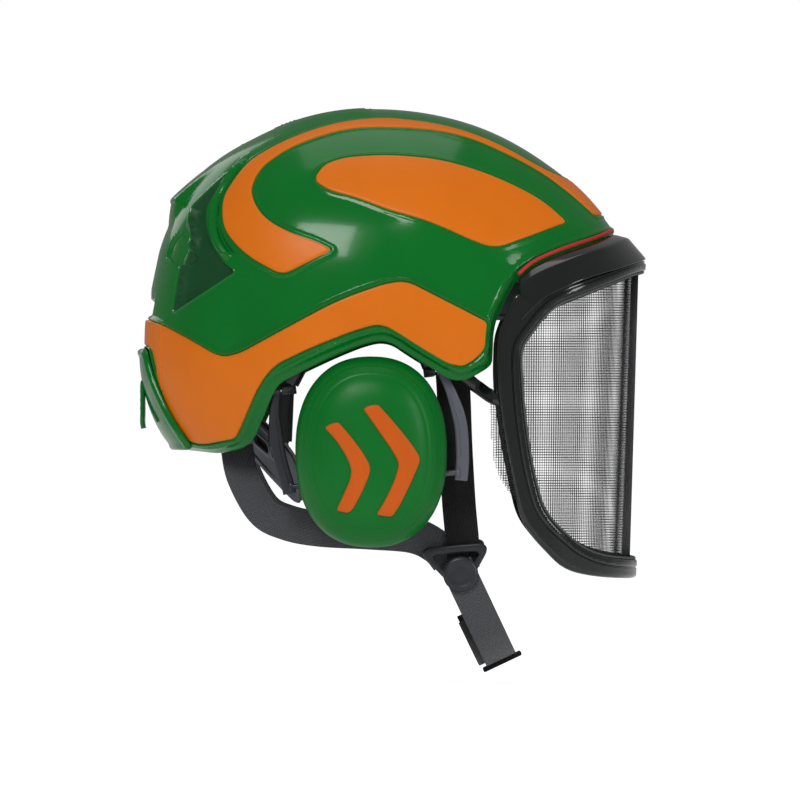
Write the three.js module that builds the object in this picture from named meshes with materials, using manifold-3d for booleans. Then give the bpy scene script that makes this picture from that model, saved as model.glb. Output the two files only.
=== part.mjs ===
// Forestry helmet: shell with colour inserts, lining, headband and nape cradle,
// mesh visor, swing-out ear cups and chin harness.
// Millimetres. +X is where the wearer looks, +Z is up, -Y is the wearer's right.
// The origin is the centre of the wearer's head at the level of the headband.
import * as THREE from 'three';
import { mergeVertices } from 'three/addons/utils/BufferGeometryUtils.js';
import Module from 'manifold-3d';

const wasm = await Module();
wasm.setup();

// ---------------------------------------------------------------- driving sizes
const GAP = 0.4; // between pieces that rest on each other
const SHELL_WALL = 3;
const INSERT_WALL = 1.2;
const STRAP_WIDTH = 20;
const STRAP_THICK = 1.4;

// The shell is star-shaped about DOME_CENTRE: its radius is given every 15 degrees
// down from +Z, towards the front, the rear and the sides, and mixed by a superellipse
// that is round at the top.
const DOME_CENTRE = new THREE.Vector3(-9.3, 0, -20);
const DOME_STEP = 15;
const DOME_FRONT = [138.4, 140.2, 144.6, 150.5, 159, 166.2, 164, 166, 170, 174];
const DOME_REAR = [138.4, 138.5, 139.7, 143.2, 142.5, 138.3, 138.7, 140.5, 138, 125];
const DOME_SIDE = [138.4, 134, 127, 120, 114, 109, 107, 110, 119, 126];
const DOME_SQUARE = 0.2; // how far the level sections differ from an ellipse
const DOME_AROUND = 32;
const DOME_DOWN = 12;
const DOME_LAST_ANGLE = 135;

const VISOR_HINGE = new THREE.Vector3(9.3, 0, 0);
const VISOR_CENTRE_X = 66;
const VISOR_REACH = 95.5; // from VISOR_CENTRE_X to the middle of the front
const VISOR_HALF_WIDTH = 104;
const VISOR_POWER = 2.35;
const VISOR_WALL = 3.7;
const VISOR_LEAN = 0.03; // how far the front comes back per millimetre of drop
const VISOR_TOP = 25;
const ARM_LAYER = [84, 87]; // distance from the middle plane of the visor's arms

const EAR_HUB = { x: -4, z: -12 };
const EAR_LAYER = [88.5, 93.5]; // carrier and legs, outside the visor's arms
const SWING_REAR = new THREE.Vector3(-63, -89.2, -56);
const SWING_FRONT = new THREE.Vector3(31, -91, -44.2);
const CUP_CENTRE = { x: -8.3, z: -93.6 };
const CUP_HALF = { x: 46, z: 58 };
const CUP_POWER = 2.3;
const TILT_REAR = new THREE.Vector3(-58.4, -92.2, -115);
const TILT_FRONT = new THREE.Vector3(45.6, -92.2, -106);

const CHIN_PIVOT = new THREE.Vector3(46.3, 0, -168.2);
const CHIN_DOWN = new THREE.Vector3(0.427, 0, -0.904);
const KNOB_CENTRE_Z = -76;

// ---------------------------------------------------------------- materials
function paint(color, roughness, metalness = 0) {
  return new THREE.MeshStandardMaterial({ color, roughness, metalness });
}
const GREEN = paint(0x007d2c, 0.22);
const ORANGE = paint(0xee7d14, 0.35);
const GLOSS_BLACK = paint(0x141716, 0.15);
const DARK_GREY = paint(0x2b2e33, 0.45);
const MID_GREY = paint(0x5c6068, 0.4);
const RED = paint(0xd2202a, 0.5);
const FOAM_BLACK = paint(0x16171a, 0.9);
const WEB_GREY = paint(0x63666b, 0.85);
const WEB_BLACK = paint(0x1b1b1e, 0.85);
const GAUZE = paint(0x55585a, 0.5, 0.6);
const STEEL = paint(0xb8bcc0, 0.25, 1);

// ---------------------------------------------------------------- solids
function solid(geometry) {
  const bare = new THREE.BufferGeometry();
  const loose = geometry.index ? geometry.toNonIndexed() : geometry;
  bare.setAttribute('position', loose.getAttribute('position'));
  const merged = mergeVertices(bare, 1e-3);
  return new wasm.Manifold(
    new wasm.Mesh({
      numProp: 3,
      vertProperties: new Float32Array(merged.attributes.position.array),
      triVerts: new Uint32Array(merged.index.array),
    }),
  );
}

function geometryOf(body) {
  const mesh = body.getMesh();
  const points = [];
  for (let i = 0; i < mesh.numVert; i++) {
    const start = i * mesh.numProp;
    points.push(...mesh.vertProperties.subarray(start, start + 3));
  }
  const geometry = new THREE.BufferGeometry();
  geometry.setAttribute('position', new THREE.Float32BufferAttribute(points, 3));
  geometry.setIndex([...mesh.triVerts]);
  return geometry;
}

function join(first, ...others) {
  return others.reduce((sum, body) => sum.add(body), first);
}

function cut(first, ...others) {
  return others.reduce((rest, body) => rest.subtract(body), first);
}

// A closed surface over rings of equally many points. The first and last ring are
// capped, or joined to each other when the rings run round a hole.
function loft(rings, closed = false) {
  const count = rings[0].length;
  const points = rings.flat();
  const index = [];
  const last = closed ? rings.length : rings.length - 1;
  for (let i = 0; i < last; i++) {
    const here = i * count;
    const next = ((i + 1) % rings.length) * count;
    for (let j = 0; j < count; j++) {
      const k = (j + 1) % count;
      index.push(here + j, here + k, next + k, here + j, next + k, next + j);
    }
  }
  if (!closed) {
    for (const [ring, flip] of [[0, true], [rings.length - 1, false]]) {
      const middle = points.length;
      const sum = rings[ring].reduce((a, p) => a.clone().add(p), new THREE.Vector3());
      points.push(sum.divideScalar(count));
      for (let j = 0; j < count; j++) {
        const a = ring * count + j;
        const b = ring * count + ((j + 1) % count);
        index.push(middle, flip ? b : a, flip ? a : b);
      }
    }
  }
  const geometry = new THREE.BufferGeometry().setFromPoints(points);
  geometry.setIndex(index);
  const body = solid(geometry);
  return body.volume() < 0 ? solid(reversed(geometry)) : body;
}

function reversed(geometry) {
  const turned = geometry.clone();
  const index = [...turned.index.array];
  for (let i = 0; i < index.length; i += 3) [index[i], index[i + 1]] = [index[i + 1], index[i]];
  turned.setIndex(index);
  return turned;
}

function box(low, high) {
  const size = [0, 1, 2].map((i) => high[i] - low[i]);
  const middle = [0, 1, 2].map((i) => (high[i] + low[i]) / 2);
  return solid(new THREE.BoxGeometry(...size).translate(...middle));
}

// An outline in the X-Z plane, as [x, z] points, extruded from y = low to y = high.
function sidePrism(outline, low, high) {
  const shape = new THREE.Shape(outline.map(([x, z]) => new THREE.Vector2(x, z)));
  const geometry = new THREE.ExtrudeGeometry(shape, { depth: high - low, bevelEnabled: false });
  return solid(geometry.rotateX(Math.PI / 2).translate(0, high, 0));
}

// An outline in the Y-Z plane, as [y, z] points, extruded from x = low to x = high.
function rearPrism(outline, low, high) {
  const shape = new THREE.Shape(outline.map(([y, z]) => new THREE.Vector2(y, z)));
  const geometry = new THREE.ExtrudeGeometry(shape, { depth: high - low, bevelEnabled: false });
  const turn = new THREE.Matrix4().set(0, 0, 1, low, 1, 0, 0, 0, 0, 1, 0, 0, 0, 0, 0, 1);
  return solid(geometry.applyMatrix4(turn));
}

// A cylinder, or a cone, between two points.
function rod(from, to, radius, endRadius = radius, sides = 12) {
  const along = to.clone().sub(from);
  const geometry = new THREE.CylinderGeometry(endRadius, radius, along.length(), sides);
  const up = new THREE.Vector3(0, 1, 0);
  const turn = new THREE.Quaternion().setFromUnitVectors(up, along.clone().normalize());
  geometry.applyQuaternion(turn);
  const middle = from.clone().add(to).divideScalar(2);
  return solid(geometry.translate(middle.x, middle.y, middle.z));
}

// A cylinder along Y on the right side, between two distances from the middle plane.
function sideRod(x, z, radius, layer, sides = 12) {
  const from = new THREE.Vector3(x, -layer[0], z);
  const to = new THREE.Vector3(x, -layer[1], z);
  return rod(from, to, radius, radius, sides);
}

// A flat strip of rectangular section along a path. wide gives, for each point, the
// direction across the strip.
function ribbon(path, wide, width, thick) {
  const rings = path.map((point, i) => {
    const before = path[Math.max(i - 1, 0)];
    const after = path[Math.min(i + 1, path.length - 1)];
    const along = after.clone().sub(before).normalize();
    const across = wide[i].clone().normalize().multiplyScalar(width / 2);
    const out = along.clone().cross(across).normalize().multiplyScalar(thick / 2);
    const corner = (a, b) =>
      point.clone().addScaledVector(across, a).addScaledVector(out, b);
    return [corner(1, 1), corner(-1, 1), corner(-1, -1), corner(1, -1)];
  });
  return loft(rings);
}

// A strip that lies flat in the X-Z plane: points are [x, distance from the middle, z].
function sideStrip(points, width, thick, steps = 12) {
  const curve = new THREE.CatmullRomCurve3(
    points.map(([x, out, z]) => new THREE.Vector3(x, -out, z)),
  );
  const path = curve.getSpacedPoints(steps);
  const wide = path.map((point, i) => {
    const before = path[Math.max(i - 1, 0)];
    const after = path[Math.min(i + 1, path.length - 1)];
    return new THREE.Vector3(after.z - before.z, 0, before.x - after.x);
  });
  return ribbon(path, wide, width, thick);
}

function superellipse(centre, half, power, y, count = 20) {
  const ring = [];
  for (let i = 0; i < count; i++) {
    const angle = (2 * Math.PI * i) / count;
    const c = Math.cos(angle);
    const s = Math.sin(angle);
    const r = (Math.abs(c / half.x) ** power + Math.abs(s / half.z) ** power) ** (-1 / power);
    ring.push(new THREE.Vector3(centre.x + r * c, y, centre.z + r * s));
  }
  return ring;
}

// ---------------------------------------------------------------- dome
function domeProfile(values, angle) {
  const place = Math.min(angle / DOME_STEP, values.length - 1.0001);
  const i = Math.floor(place);
  const t = place - i;
  const at = (k) => values[Math.min(Math.abs(k), values.length - 1)];
  const [a, b, c, d] = [at(i - 1), at(i), at(i + 1), at(i + 2)];
  const bend = 2 * a - 5 * b + 4 * c - d;
  return b + 0.5 * t * (c - a + t * (bend + t * (3 * (b - c) + d - a)));
}

function domeRadius(around, down) {
  const c = Math.cos(around);
  const s = Math.sin(around);
  const lengthwise = domeProfile(c >= 0 ? DOME_FRONT : DOME_REAR, down);
  const sideways = domeProfile(DOME_SIDE, down);
  const power = 2 + DOME_SQUARE * Math.sin(THREE.MathUtils.degToRad(down)) ** 2;
  const sum = Math.abs(c / lengthwise) ** power + Math.abs(s / sideways) ** power;
  return sum ** (-1 / power);
}

function domePoint(around, down, offset) {
  const r = domeRadius(around, down) + offset;
  const polar = THREE.MathUtils.degToRad(down);
  const flat = r * Math.sin(polar);
  const point = new THREE.Vector3(flat * Math.cos(around), flat * Math.sin(around));
  point.z = r * Math.cos(polar);
  return point.add(DOME_CENTRE);
}

const domes = new Map();
function dome(offset) {
  if (!domes.has(offset)) {
    const rings = [];
    for (let i = 0; i <= DOME_DOWN; i++) {
      const down = Math.max((DOME_LAST_ANGLE * i) / DOME_DOWN, 0.5);
      const ring = [];
      for (let j = 0; j < DOME_AROUND; j++) {
        ring.push(domePoint((2 * Math.PI * j) / DOME_AROUND, down, offset));
      }
      rings.push(ring);
    }
    domes.set(offset, loft(rings));
  }
  return domes.get(offset);
}

function domeLayer(low, high) {
  return dome(high).subtract(dome(low));
}

// ---------------------------------------------------------------- scene graph
const helmet = new THREE.Group();
helmet.name = 'forestry_helmet';

function add(name, body, material) {
  const mesh = new THREE.Mesh(geometryOf(body), material);
  mesh.name = name;
  helmet.add(mesh);
}

function mirrored(geometry) {
  return reversed(geometry.clone().scale(1, -1, 1));
}

// The right-hand piece as given, and its mirror image on the left.
function addPair(name, body, material) {
  const right = geometryOf(body);
  const pieces = [['right', right], ['left', mirrored(right)]];
  for (const [side, geometry] of pieces) {
    const mesh = new THREE.Mesh(geometry, material);
    mesh.name = `${name}_${side}`;
    helmet.add(mesh);
  }
}

// ---------------------------------------------------------------- outer shell
const RIM = [
  [-175, -94], [-120, -94.5], [-101.8, -96.7], [-87.2, -92.8], [-80.9, -86.7],
  [-68.8, -57.9], [-64.8, -52.3], [-51.1, -45.1], [-30.8, -35.6], [-14.2, -28.9],
  [-3.5, -26.2], [4.4, -27.5], [18.4, -36.9], [31.2, -44.4], [42.1, -51.1],
  [51.9, -50.4], [64.1, -43.1], [66.9, -40.1], [67.7, -21.8], [69.6, -13.3],
  [81.2, 11.1], [91.1, 18.6], [107.3, 25.5], [126.1, 31.8], [140.3, 38.1], [175, 38.4],
];
const ABOVE = 150;
const VENT_ROOF = { low: 136.9, high: 150, half: 12, from: 0.2, to: 34 };
const VENT_SLIDER = { low: 137.3, high: 139.6, half: 11.4, from: 1, to: 26 };

// A sector of a ring about the Y axis through the dome's centre, measured backwards
// from straight up.
function crownSector({ low, high, half, from, to }) {
  const steps = 8;
  const outline = [];
  const at = (r, degrees) => {
    const angle = THREE.MathUtils.degToRad(degrees);
    return [DOME_CENTRE.x - r * Math.sin(angle), DOME_CENTRE.z + r * Math.cos(angle)];
  };
  for (let i = 0; i <= steps; i++) outline.push(at(high, from + ((to - from) * i) / steps));
  for (let i = steps; i >= 0; i--) outline.push(at(low, from + ((to - from) * i) / steps));
  return sidePrism(outline, -half, half);
}

function outerShell() {
  const outline = [...RIM, [175, ABOVE], [-175, ABOVE]];
  const wall = domeLayer(-SHELL_WALL, 0).intersect(sidePrism(outline, -130, 130));
  const ventHoles = [8, 16].map((start) =>
    crownSector({ low: 130, high: 140, half: 8, from: start, to: start + 4 }),
  );
  const hook = (side) => {
    const { x, y } = domePoint(Math.PI - 0.42 * side, 122, -SHELL_WALL / 2);
    return box([x - 1.6, y - 1.6, -101.5], [x + 1.6, y + 1.6, -92]);
  };
  const hooked = join(wall, hook(-1), hook(1));
  return cut(hooked, crownSector(VENT_ROOF), ...ventHoles);
}

// ---------------------------------------------------------------- colour inserts
const SIDE_BAND = [
  [-165, -11], [-144.6, -11.6], [-122, -23], [-104, -33.6], [-97.5, -35.4],
  [-88, -33.2], [-58, -17], [-27.2, -0.6], [0.2, 8.8], [9.5, 10.4], [16, 9.4],
  [33.2, 0.6], [62.8, -14.5], [62.2, -28.6], [57, -36], [47.6, -42], [37.8, -40.3],
  [14.1, -26.2], [2, -18], [-5, -16.5], [-18.1, -20.1], [-44.9, -30.5], [-65.1, -40.3],
  [-71.3, -46.5], [-77, -55.3], [-88.1, -80.5], [-90.6, -85.6], [-114.1, -90],
  [-127.5, -83.3], [-139.7, -48.8], [-144.3, -28.3], [-165, -28],
];
const CRESCENT = [
  [118, 72], [97, 80], [74.8, 93.1], [51.3, 103.2], [27.8, 108.8], [4, 111.4],
  [-9.5, 111.1], [-26.5, 109], [-43.4, 104.4], [-63.2, 96.7], [-82.9, 85],
  [-92.2, 73.5], [-98.8, 62.4], [-99.7, 52], [-98.1, 42.2], [-91.9, 33.4],
  [-81.8, 24.3], [-65.2, 15.1], [-59.4, 15], [-32.6, 28.4], [-32, 29.6],
  [-41.4, 34.5], [-55.8, 39.4], [-68, 45.6], [-75.4, 51.9], [-80, 59.9],
  [-81.5, 67], [-78.7, 74.7], [-73.8, 81.8], [-59.6, 92.1], [-43.4, 98.8],
  [-24.3, 104.4], [-6, 105.8], [27.8, 104.5], [51.3, 99.8], [74.8, 89.5],
  [96.7, 77.8], [113.5, 65.3], [129.3, 51.3], [137, 53.2], [142, 60], [132, 70],
];
const SIDE_PANEL = [
  [-42.5, 74.3], [-37.2, 81.9], [-25.1, 86.2], [0.4, 88.2], [31.2, 85.6],
  [52.6, 80.1], [75.1, 71.5], [97, 60], [111.6, 46.6], [66.5, 29.3], [52.3, 34.2],
  [31.2, 43.9], [9.3, 51.3], [0.2, 54.3], [-18.1, 61.4], [-33.3, 65.3], [-42, 70.8],
];

function insert(outline, inner) {
  const layer = domeLayer(GAP, GAP + INSERT_WALL);
  return layer.intersect(sidePrism(outline, -140, inner));
}

// ---------------------------------------------------------------- rear bracket
const BRACKET = [
  [-27, -30], [27, -30], [33, -36], [44, -60], [49, -82], [47, -91], [-47, -91],
  [-49, -82], [-44, -60], [-33, -36],
];
const BRACKET_LAYER = [2.8, 5.2];
const CLIP = { outer: -151.5, inner: -148.6, half: 11, low: -80, high: -47 };

function rearBracket() {
  return domeLayer(...BRACKET_LAYER).intersect(rearPrism(BRACKET, -170, -70));
}

// A flat tongue on two feet, for a lamp strap or a goggle strap to run behind.
function strapClip() {
  const tongue = box([CLIP.outer, -CLIP.half, CLIP.low], [CLIP.inner, CLIP.half, CLIP.high]);
  const foot = (low) => box([CLIP.inner - 1, -CLIP.half, low], [-140, CLIP.half, low + 4]);
  const body = join(tongue, foot(CLIP.high - 4));
  return cut(body, dome(BRACKET_LAYER[1] + GAP));
}

// ---------------------------------------------------------------- lining
const LINER_SIDE = 83;
const CAVITY = { x: -8, halfX: 114, halfY: 79.5, halfZ: 96 };
const LINER_OUTLINE = [
  [-175, -40], [-104, -40], [-80, -6], [60, -6], [86, 24], [104, 32],
  [124, 39], [150, 46], [175, 46], [175, ABOVE], [-175, ABOVE],
];

function ellipsoid(x, halfX, halfY, halfZ) {
  const ball = new THREE.SphereGeometry(1, 28, 16);
  return solid(ball.scale(halfX, halfY, halfZ).translate(x, 0, 0));
}

function liner() {
  const outer = dome(-SHELL_WALL - GAP - 1).intersect(
    sidePrism(LINER_OUTLINE, -LINER_SIDE, LINER_SIDE),
  );
  const cavity = ellipsoid(CAVITY.x, CAVITY.halfX, CAVITY.halfY, CAVITY.halfZ);
  return cut(outer, cavity);
}

function crownPad() {
  const half = 48;
  const profile = [[0, 78], [34, 75.5], [46, 72], [half, 74], [46, 77], [34, 82], [0, 85]];
  const points = profile.map(([r, z]) => new THREE.Vector2(r, z));
  const geometry = new THREE.LatheGeometry(points, 20).rotateX(Math.PI / 2);
  return solid(geometry.scale(1, 0.62, 1).translate(-6, 0, 0));
}

// Part of an elliptical ring, upright, between two angles from +X.
function arcBand({ halfX, halfY, thick, low, high, from, to, steps }) {
  const rings = [];
  for (let i = 0; i <= steps; i++) {
    const angle = THREE.MathUtils.degToRad(from + ((to - from) * i) / steps);
    const at = (grow, z) => {
      const x = (halfX + grow) * Math.cos(angle);
      const y = (halfY + grow) * Math.sin(angle);
      return new THREE.Vector3(x, y, z);
    };
    rings.push([at(0, low), at(thick, low), at(thick, high), at(0, high)]);
  }
  return loft(rings);
}

const HEADBAND = { halfX: 98, halfY: 74.4, thick: 2, low: -12, high: 13, from: -138, to: 138, steps: 26 };
const SWEATBAND = { halfX: 92, halfY: 68.4, thick: 5.6, low: -10, high: 16, from: -62, to: 62, steps: 14 };

// ---------------------------------------------------------------- nape
const NAPE = { x: -45.6, reachX: 46, halfY: 63, high: KNOB_CENTRE_Z, drop: 38 };

function napePoint(degrees, inward) {
  const angle = THREE.MathUtils.degToRad(degrees);
  const c = Math.cos(angle);
  const x = NAPE.x - (NAPE.reachX - inward) * c;
  const y = (NAPE.halfY - inward) * Math.sin(angle);
  return new THREE.Vector3(x, y, NAPE.high - NAPE.drop * (1 - c));
}

function napeBand(reach, inward, height, thick, steps) {
  const path = [];
  for (let i = 0; i <= steps; i++) path.push(napePoint(-reach + (2 * reach * i) / steps, inward));
  const wide = path.map(() => new THREE.Vector3(-0.1, 0, 1));
  return ribbon(path, wide, height, thick);
}

function napeCradle() {
  const band = napeBand(80, 0, 26, 3, 20);
  const slot = (side) =>
    rod(new THREE.Vector3(-72, side * 40, -98), new THREE.Vector3(-72, side * 80, -98), 5);
  return cut(band, slot(-1), slot(1));
}

function ratchetHousing() {
  const from = new THREE.Vector3(-107.4, 0, KNOB_CENTRE_Z);
  const to = new THREE.Vector3(-95.1, 0, KNOB_CENTRE_Z);
  return rod(from, to, 15, 17, 20);
}

function sizeKnob() {
  const from = new THREE.Vector3(-117.4, 0, KNOB_CENTRE_Z);
  const to = new THREE.Vector3(-108, 0, KNOB_CENTRE_Z);
  const grooves = [];
  const count = 10;
  for (let i = 0; i < count; i++) {
    const angle = (2 * Math.PI * i) / count;
    const y = 14 * Math.sin(angle);
    const z = KNOB_CENTRE_Z + 14 * Math.cos(angle);
    const low = new THREE.Vector3(-119, y, z);
    grooves.push(rod(low, new THREE.Vector3(-107.6, y, z), 1.6, 1.6, 6));
  }
  return cut(rod(from, to, 12.4, 13.4, 30), ...grooves);
}

function cradleArm() {
  const points = [[-61.5, 65.6, -4], [-63, 65.6, -40], [-65, 65.6, -90]];
  return sideStrip(points, 13, 2.2, 5);
}

// ---------------------------------------------------------------- visor
function visorPlan(grow, z, steps = 20) {
  const points = [];
  for (let i = 0; i <= steps; i++) {
    const angle = -Math.PI / 2 + (Math.PI * i) / steps;
    const c = Math.abs(Math.cos(angle)) ** (2 / VISOR_POWER);
    const s = Math.abs(Math.sin(angle)) ** (2 / VISOR_POWER) * Math.sign(angle);
    const lean = VISOR_LEAN * (z - VISOR_TOP);
    const x = VISOR_CENTRE_X + (VISOR_REACH + grow + lean) * c;
    points.push(new THREE.Vector3(x, (VISOR_HALF_WIDTH + grow) * s, z));
  }
  return points;
}

// The visor's curved wall between two offsets, carried straight back to VISOR_BACK.
const VISOR_BACK = 50;
function visorWall(inner, outer) {
  const rings = [-176, 32].map((z) => {
    const outside = visorPlan(outer, z);
    const inside = visorPlan(inner, z).reverse();
    const back = (grow, side) =>
      new THREE.Vector3(VISOR_BACK, side * (VISOR_HALF_WIDTH + grow), z);
    return [back(outer, -1), ...outside, back(outer, 1), back(inner, 1), ...inside, back(inner, -1)];
  });
  return loft(rings);
}

const FRAME_OUTLINE = [
  [175, 25], [162, 25], [132, 14], [106, 6], [98, 0], [90, -2], [80, 4], [74, -8],
  [68.5, -21.9], [67.9, -45], [68.6, -57.7], [72.3, -86.3], [79.5, -120.9],
  [83.8, -136.7], [98, -153.7], [110.8, -165.4], [127, -169.3], [150.6, -171.8], [175, -172],
];
const WINDOW_OUTLINE = [
  [175, 20], [159.6, 18], [119.9, 2.6], [105.4, -3], [96.9, -10.3], [82.8, -29.2],
  [82.2, -38.9], [83.8, -67.5], [88.9, -102.1], [95.3, -126.4], [102.3, -136.7],
  [119.9, -152.4], [133.3, -157.9], [154, -160.6], [175, -161],
];
const GAUZE_OUTLINE = [
  [175, 20], [158, 18.5], [121, 4.5], [102, -2], [92, -10], [79, -28], [74, -50],
  [58.5, -54], [62.2, -74.2], [68.2, -101.5], [73, -113.6], [86, -131], [100, -143],
  [118, -155.5], [134, -161], [154, -163.5], [175, -164],
];
// Sections across the brow, from the middle to the right: the edge that meets the
// shell, the ridge, and the lip above the gauze.
const BROW = [
  [[142, 0, 40.2], [150.7, 0, 38.1], [162, 0, 25]],
  [[139.5, 32, 39.6], [148, 34, 37.2], [158.8, 36, 23.6]],
  [[128, 60, 34.6], [136, 65, 32], [144.5, 69, 18.5]],
  [[110, 78, 28.4], [117, 84, 25.4], [123, 90, 11.5]],
  [[92.5, 89.5, 20.6], [97, 95.5, 17], [99, 100.8, 0.5]],
  [[82.5, 95.5, 12.5], [82.5, 100, 8], [83, 104, -14]],
];
const BROW_WALL = 2.6;
const BROW_GAP = 1.2; // between the brow and the shell

function brow() {
  const section = (points, side) => {
    const top = points.map(([x, y, z]) => new THREE.Vector3(x, side * y, z));
    const drop = [[-0.6, -1], [-1.2, -1], [-1.4, -0.2]];
    const under = top.map((p, i) => {
      const inward = new THREE.Vector3(p.x - VISOR_HINGE.x, p.y, 0).normalize();
      const [back, down] = drop[i];
      return p.clone().addScaledVector(inward, back * BROW_WALL)
        .add(new THREE.Vector3(0, 0, down * BROW_WALL));
    });
    return [...top, ...under.reverse()];
  };
  const right = BROW.slice(1).reverse().map((points) => section(points, -1));
  const left = BROW.map((points) => section(points, 1));
  return loft([...right, ...left]);
}

function visorFrame() {
  const wall = visorWall(-VISOR_WALL, 0).intersect(sidePrism(FRAME_OUTLINE, -120, 120));
  const ring = cut(wall, sidePrism(WINDOW_OUTLINE, -120, 120));
  const foot = (side) => {
    const low = [67, side > 0 ? 96.4 : -100.5, -66];
    const high = [74, side > 0 ? 100.5 : -96.4, -58];
    return box(low, high);
  };
  return cut(join(ring, brow(), foot(-1), foot(1)), dome(BROW_GAP));
}

function visorGauze() {
  const low = -VISOR_WALL - GAP - 0.8;
  const sheet = visorWall(low, low + 0.8).intersect(sidePrism(GAUZE_OUTLINE, -120, 120));
  const notch = (side) => {
    const low = [65, side > 0 ? 90 : -103, -68];
    const high = [76, side > 0 ? 103 : -90, -56];
    return box(low, high);
  };
  return cut(sheet, notch(-1), notch(1));
}

// A thin soft bead on the shell just above the brow.
function visorSeal() {
  const bead = (points, side) => {
    const [x, y, z] = points[0];
    const centre = new THREE.Vector3(x - 1.2, side * (y - 0.4), z + 2.1);
    const size = 0.9;
    const at = (a, b) => centre.clone().add(new THREE.Vector3(a * size, 0, b * size));
    return [at(-1, -1), at(1, -1), at(1, 1), at(-1, 1)];
  };
  const right = BROW.slice(1).reverse().map((points) => bead(points, -1));
  const left = BROW.map((points) => bead(points, 1));
  return cut(loft([...right, ...left]), dome(GAP));
}

function visorArm() {
  const hub = sideRod(VISOR_HINGE.x, VISOR_HINGE.z, 8, ARM_LAYER);
  const middle = (ARM_LAYER[0] + ARM_LAYER[1]) / 2;
  const strip = sideStrip(
    [
      [VISOR_HINGE.x, middle, VISOR_HINGE.z], [30, middle, -31], [52, middle, -50],
      [58, middle + 0.4, -54.5], [66, 91.5, -60.2], [70, 94.2, -62],
    ],
    8, 3, 12,
  );
  const hole = sideRod(VISOR_HINGE.x, VISOR_HINGE.z, 3.9, [70, 110]);
  return cut(join(hub, strip), hole);
}

function visorPivot() {
  const flange = sideRod(VISOR_HINGE.x, VISOR_HINGE.z, 8, [95, 106]);
  const shaft = sideRod(VISOR_HINGE.x, VISOR_HINGE.z, 3.5, [83.4, 96]);
  return join(flange, shaft).intersect(dome(-SHELL_WALL - GAP));
}

// ---------------------------------------------------------------- ear units
function earMount() {
  const flange = sideRod(EAR_HUB.x, EAR_HUB.z, 8.4, [EAR_LAYER[1] + GAP, 108]);
  const pin = sideRod(EAR_HUB.x, EAR_HUB.z, 4, [EAR_LAYER[0] - 1, EAR_LAYER[1] + 2]);
  return join(flange, pin).intersect(dome(-SHELL_WALL - GAP));
}

const swingAlong = SWING_FRONT.clone().sub(SWING_REAR).normalize();
const tiltAlong = TILT_FRONT.clone().sub(TILT_REAR).normalize();

function barrel(end, from, to, radius) {
  const at = (distance) => end.clone().addScaledVector(swingAlong, distance);
  return rod(at(from), at(to), radius, radius, 8);
}

const SWING_PINS = [
  { name: 'rear', end: SWING_REAR, out: -1 },
  { name: 'front', end: SWING_FRONT, out: 1 },
];

function earCarrier() {
  const middle = (EAR_LAYER[0] + EAR_LAYER[1]) / 2;
  const hub = sideRod(EAR_HUB.x, EAR_HUB.z, 9, EAR_LAYER);
  const rear = sideStrip(
    [[EAR_HUB.x, middle, EAR_HUB.z], [-26, middle, -20], [-48, middle, -36], [-59, 89.2, -54.5]],
    7, 4.6, 7,
  );
  const front = sideStrip(
    [[EAR_HUB.x, middle, EAR_HUB.z], [10, middle, -20], [22, middle, -32], [27.5, middle, -43.4]],
    7, 4.6, 7,
  );
  const bosses = SWING_PINS.map(({ end, out }) => barrel(end, -7 * out, -0.3 * out, 3));
  const bores = SWING_PINS.map(({ end, out }) => barrel(end, -9 * out, 1 * out, 1.8));
  const room = SWING_PINS.map(({ end, out }) => barrel(end, -0.3 * out, 9 * out, 4.4));
  const hole = sideRod(EAR_HUB.x, EAR_HUB.z, 4.4, [70, 110]);
  return cut(join(hub, rear, front, ...bosses), hole, ...bores, ...room);
}

function swingPin({ end, out }) {
  const shank = barrel(end, -6.6 * out, 8 * out, 1.3);
  const head = barrel(end, 7.2 * out, 8.4 * out, 2.4);
  return join(shank, head);
}

function earLeg({ end, out }, path, stubFrom, stubTo) {
  const top = barrel(end, 0.5 * out, 6 * out, 2.8);
  const strip = sideStrip(path, 7, 4, 9);
  const stub = rod(stubFrom, stubTo, 1.8, 1.8, 12);
  const shankRoom = barrel(end, -2 * out, 9 * out, 1.8);
  const headRoom = barrel(end, 6.9 * out, 12 * out, 3);
  return cut(join(top, strip, stub), shankRoom, headRoom);
}

const REAR_LEG = [
  [-66.2, 89.2, -57], [-67, 90, -74], [-64, 91.4, -96], [-59.5, 92, -112], [-57.8, 92, -119],
];
const FRONT_LEG = [
  [34.4, 91, -44.8], [40.6, 91.4, -58], [46, 91.8, -76], [47.4, 92, -96], [46.4, 92, -111],
];

function rearLeg() {
  const inside = TILT_REAR.clone().addScaledVector(tiltAlong, 8.6);
  return earLeg(SWING_PINS[0], REAR_LEG, TILT_REAR, inside);
}

function frontLeg() {
  const inside = TILT_FRONT.clone().addScaledVector(tiltAlong, -11);
  return earLeg(SWING_PINS[1], FRONT_LEG, TILT_FRONT, inside);
}

// Rings of the cup: how far its outline shrinks at each distance from the middle
// plane, first up the hollow inside, then down the outside to the flat face.
const CUP_INSIDE = [[10.5, 119], [5.5, 114], [4.5, 100], [4.5, 89.4]];
const CUP_OUTSIDE = [[0, 89.4], [0, 99], [1.2, 105], [4, 112], [9, 118.5], [16, 123.5], [24, 126]];

function cupRing([shrink, out]) {
  const half = { x: CUP_HALF.x - shrink, z: CUP_HALF.z - shrink };
  return superellipse(CUP_CENTRE, half, CUP_POWER, -out);
}

function earCup() {
  const body = loft([...CUP_INSIDE, ...CUP_OUTSIDE].map(cupRing));
  const bore = rod(
    TILT_REAR.clone().addScaledVector(tiltAlong, -4),
    TILT_FRONT.clone().addScaledVector(tiltAlong, 4), 2.2, 2.2, 16,
  );
  return cut(body, bore);
}

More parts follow.
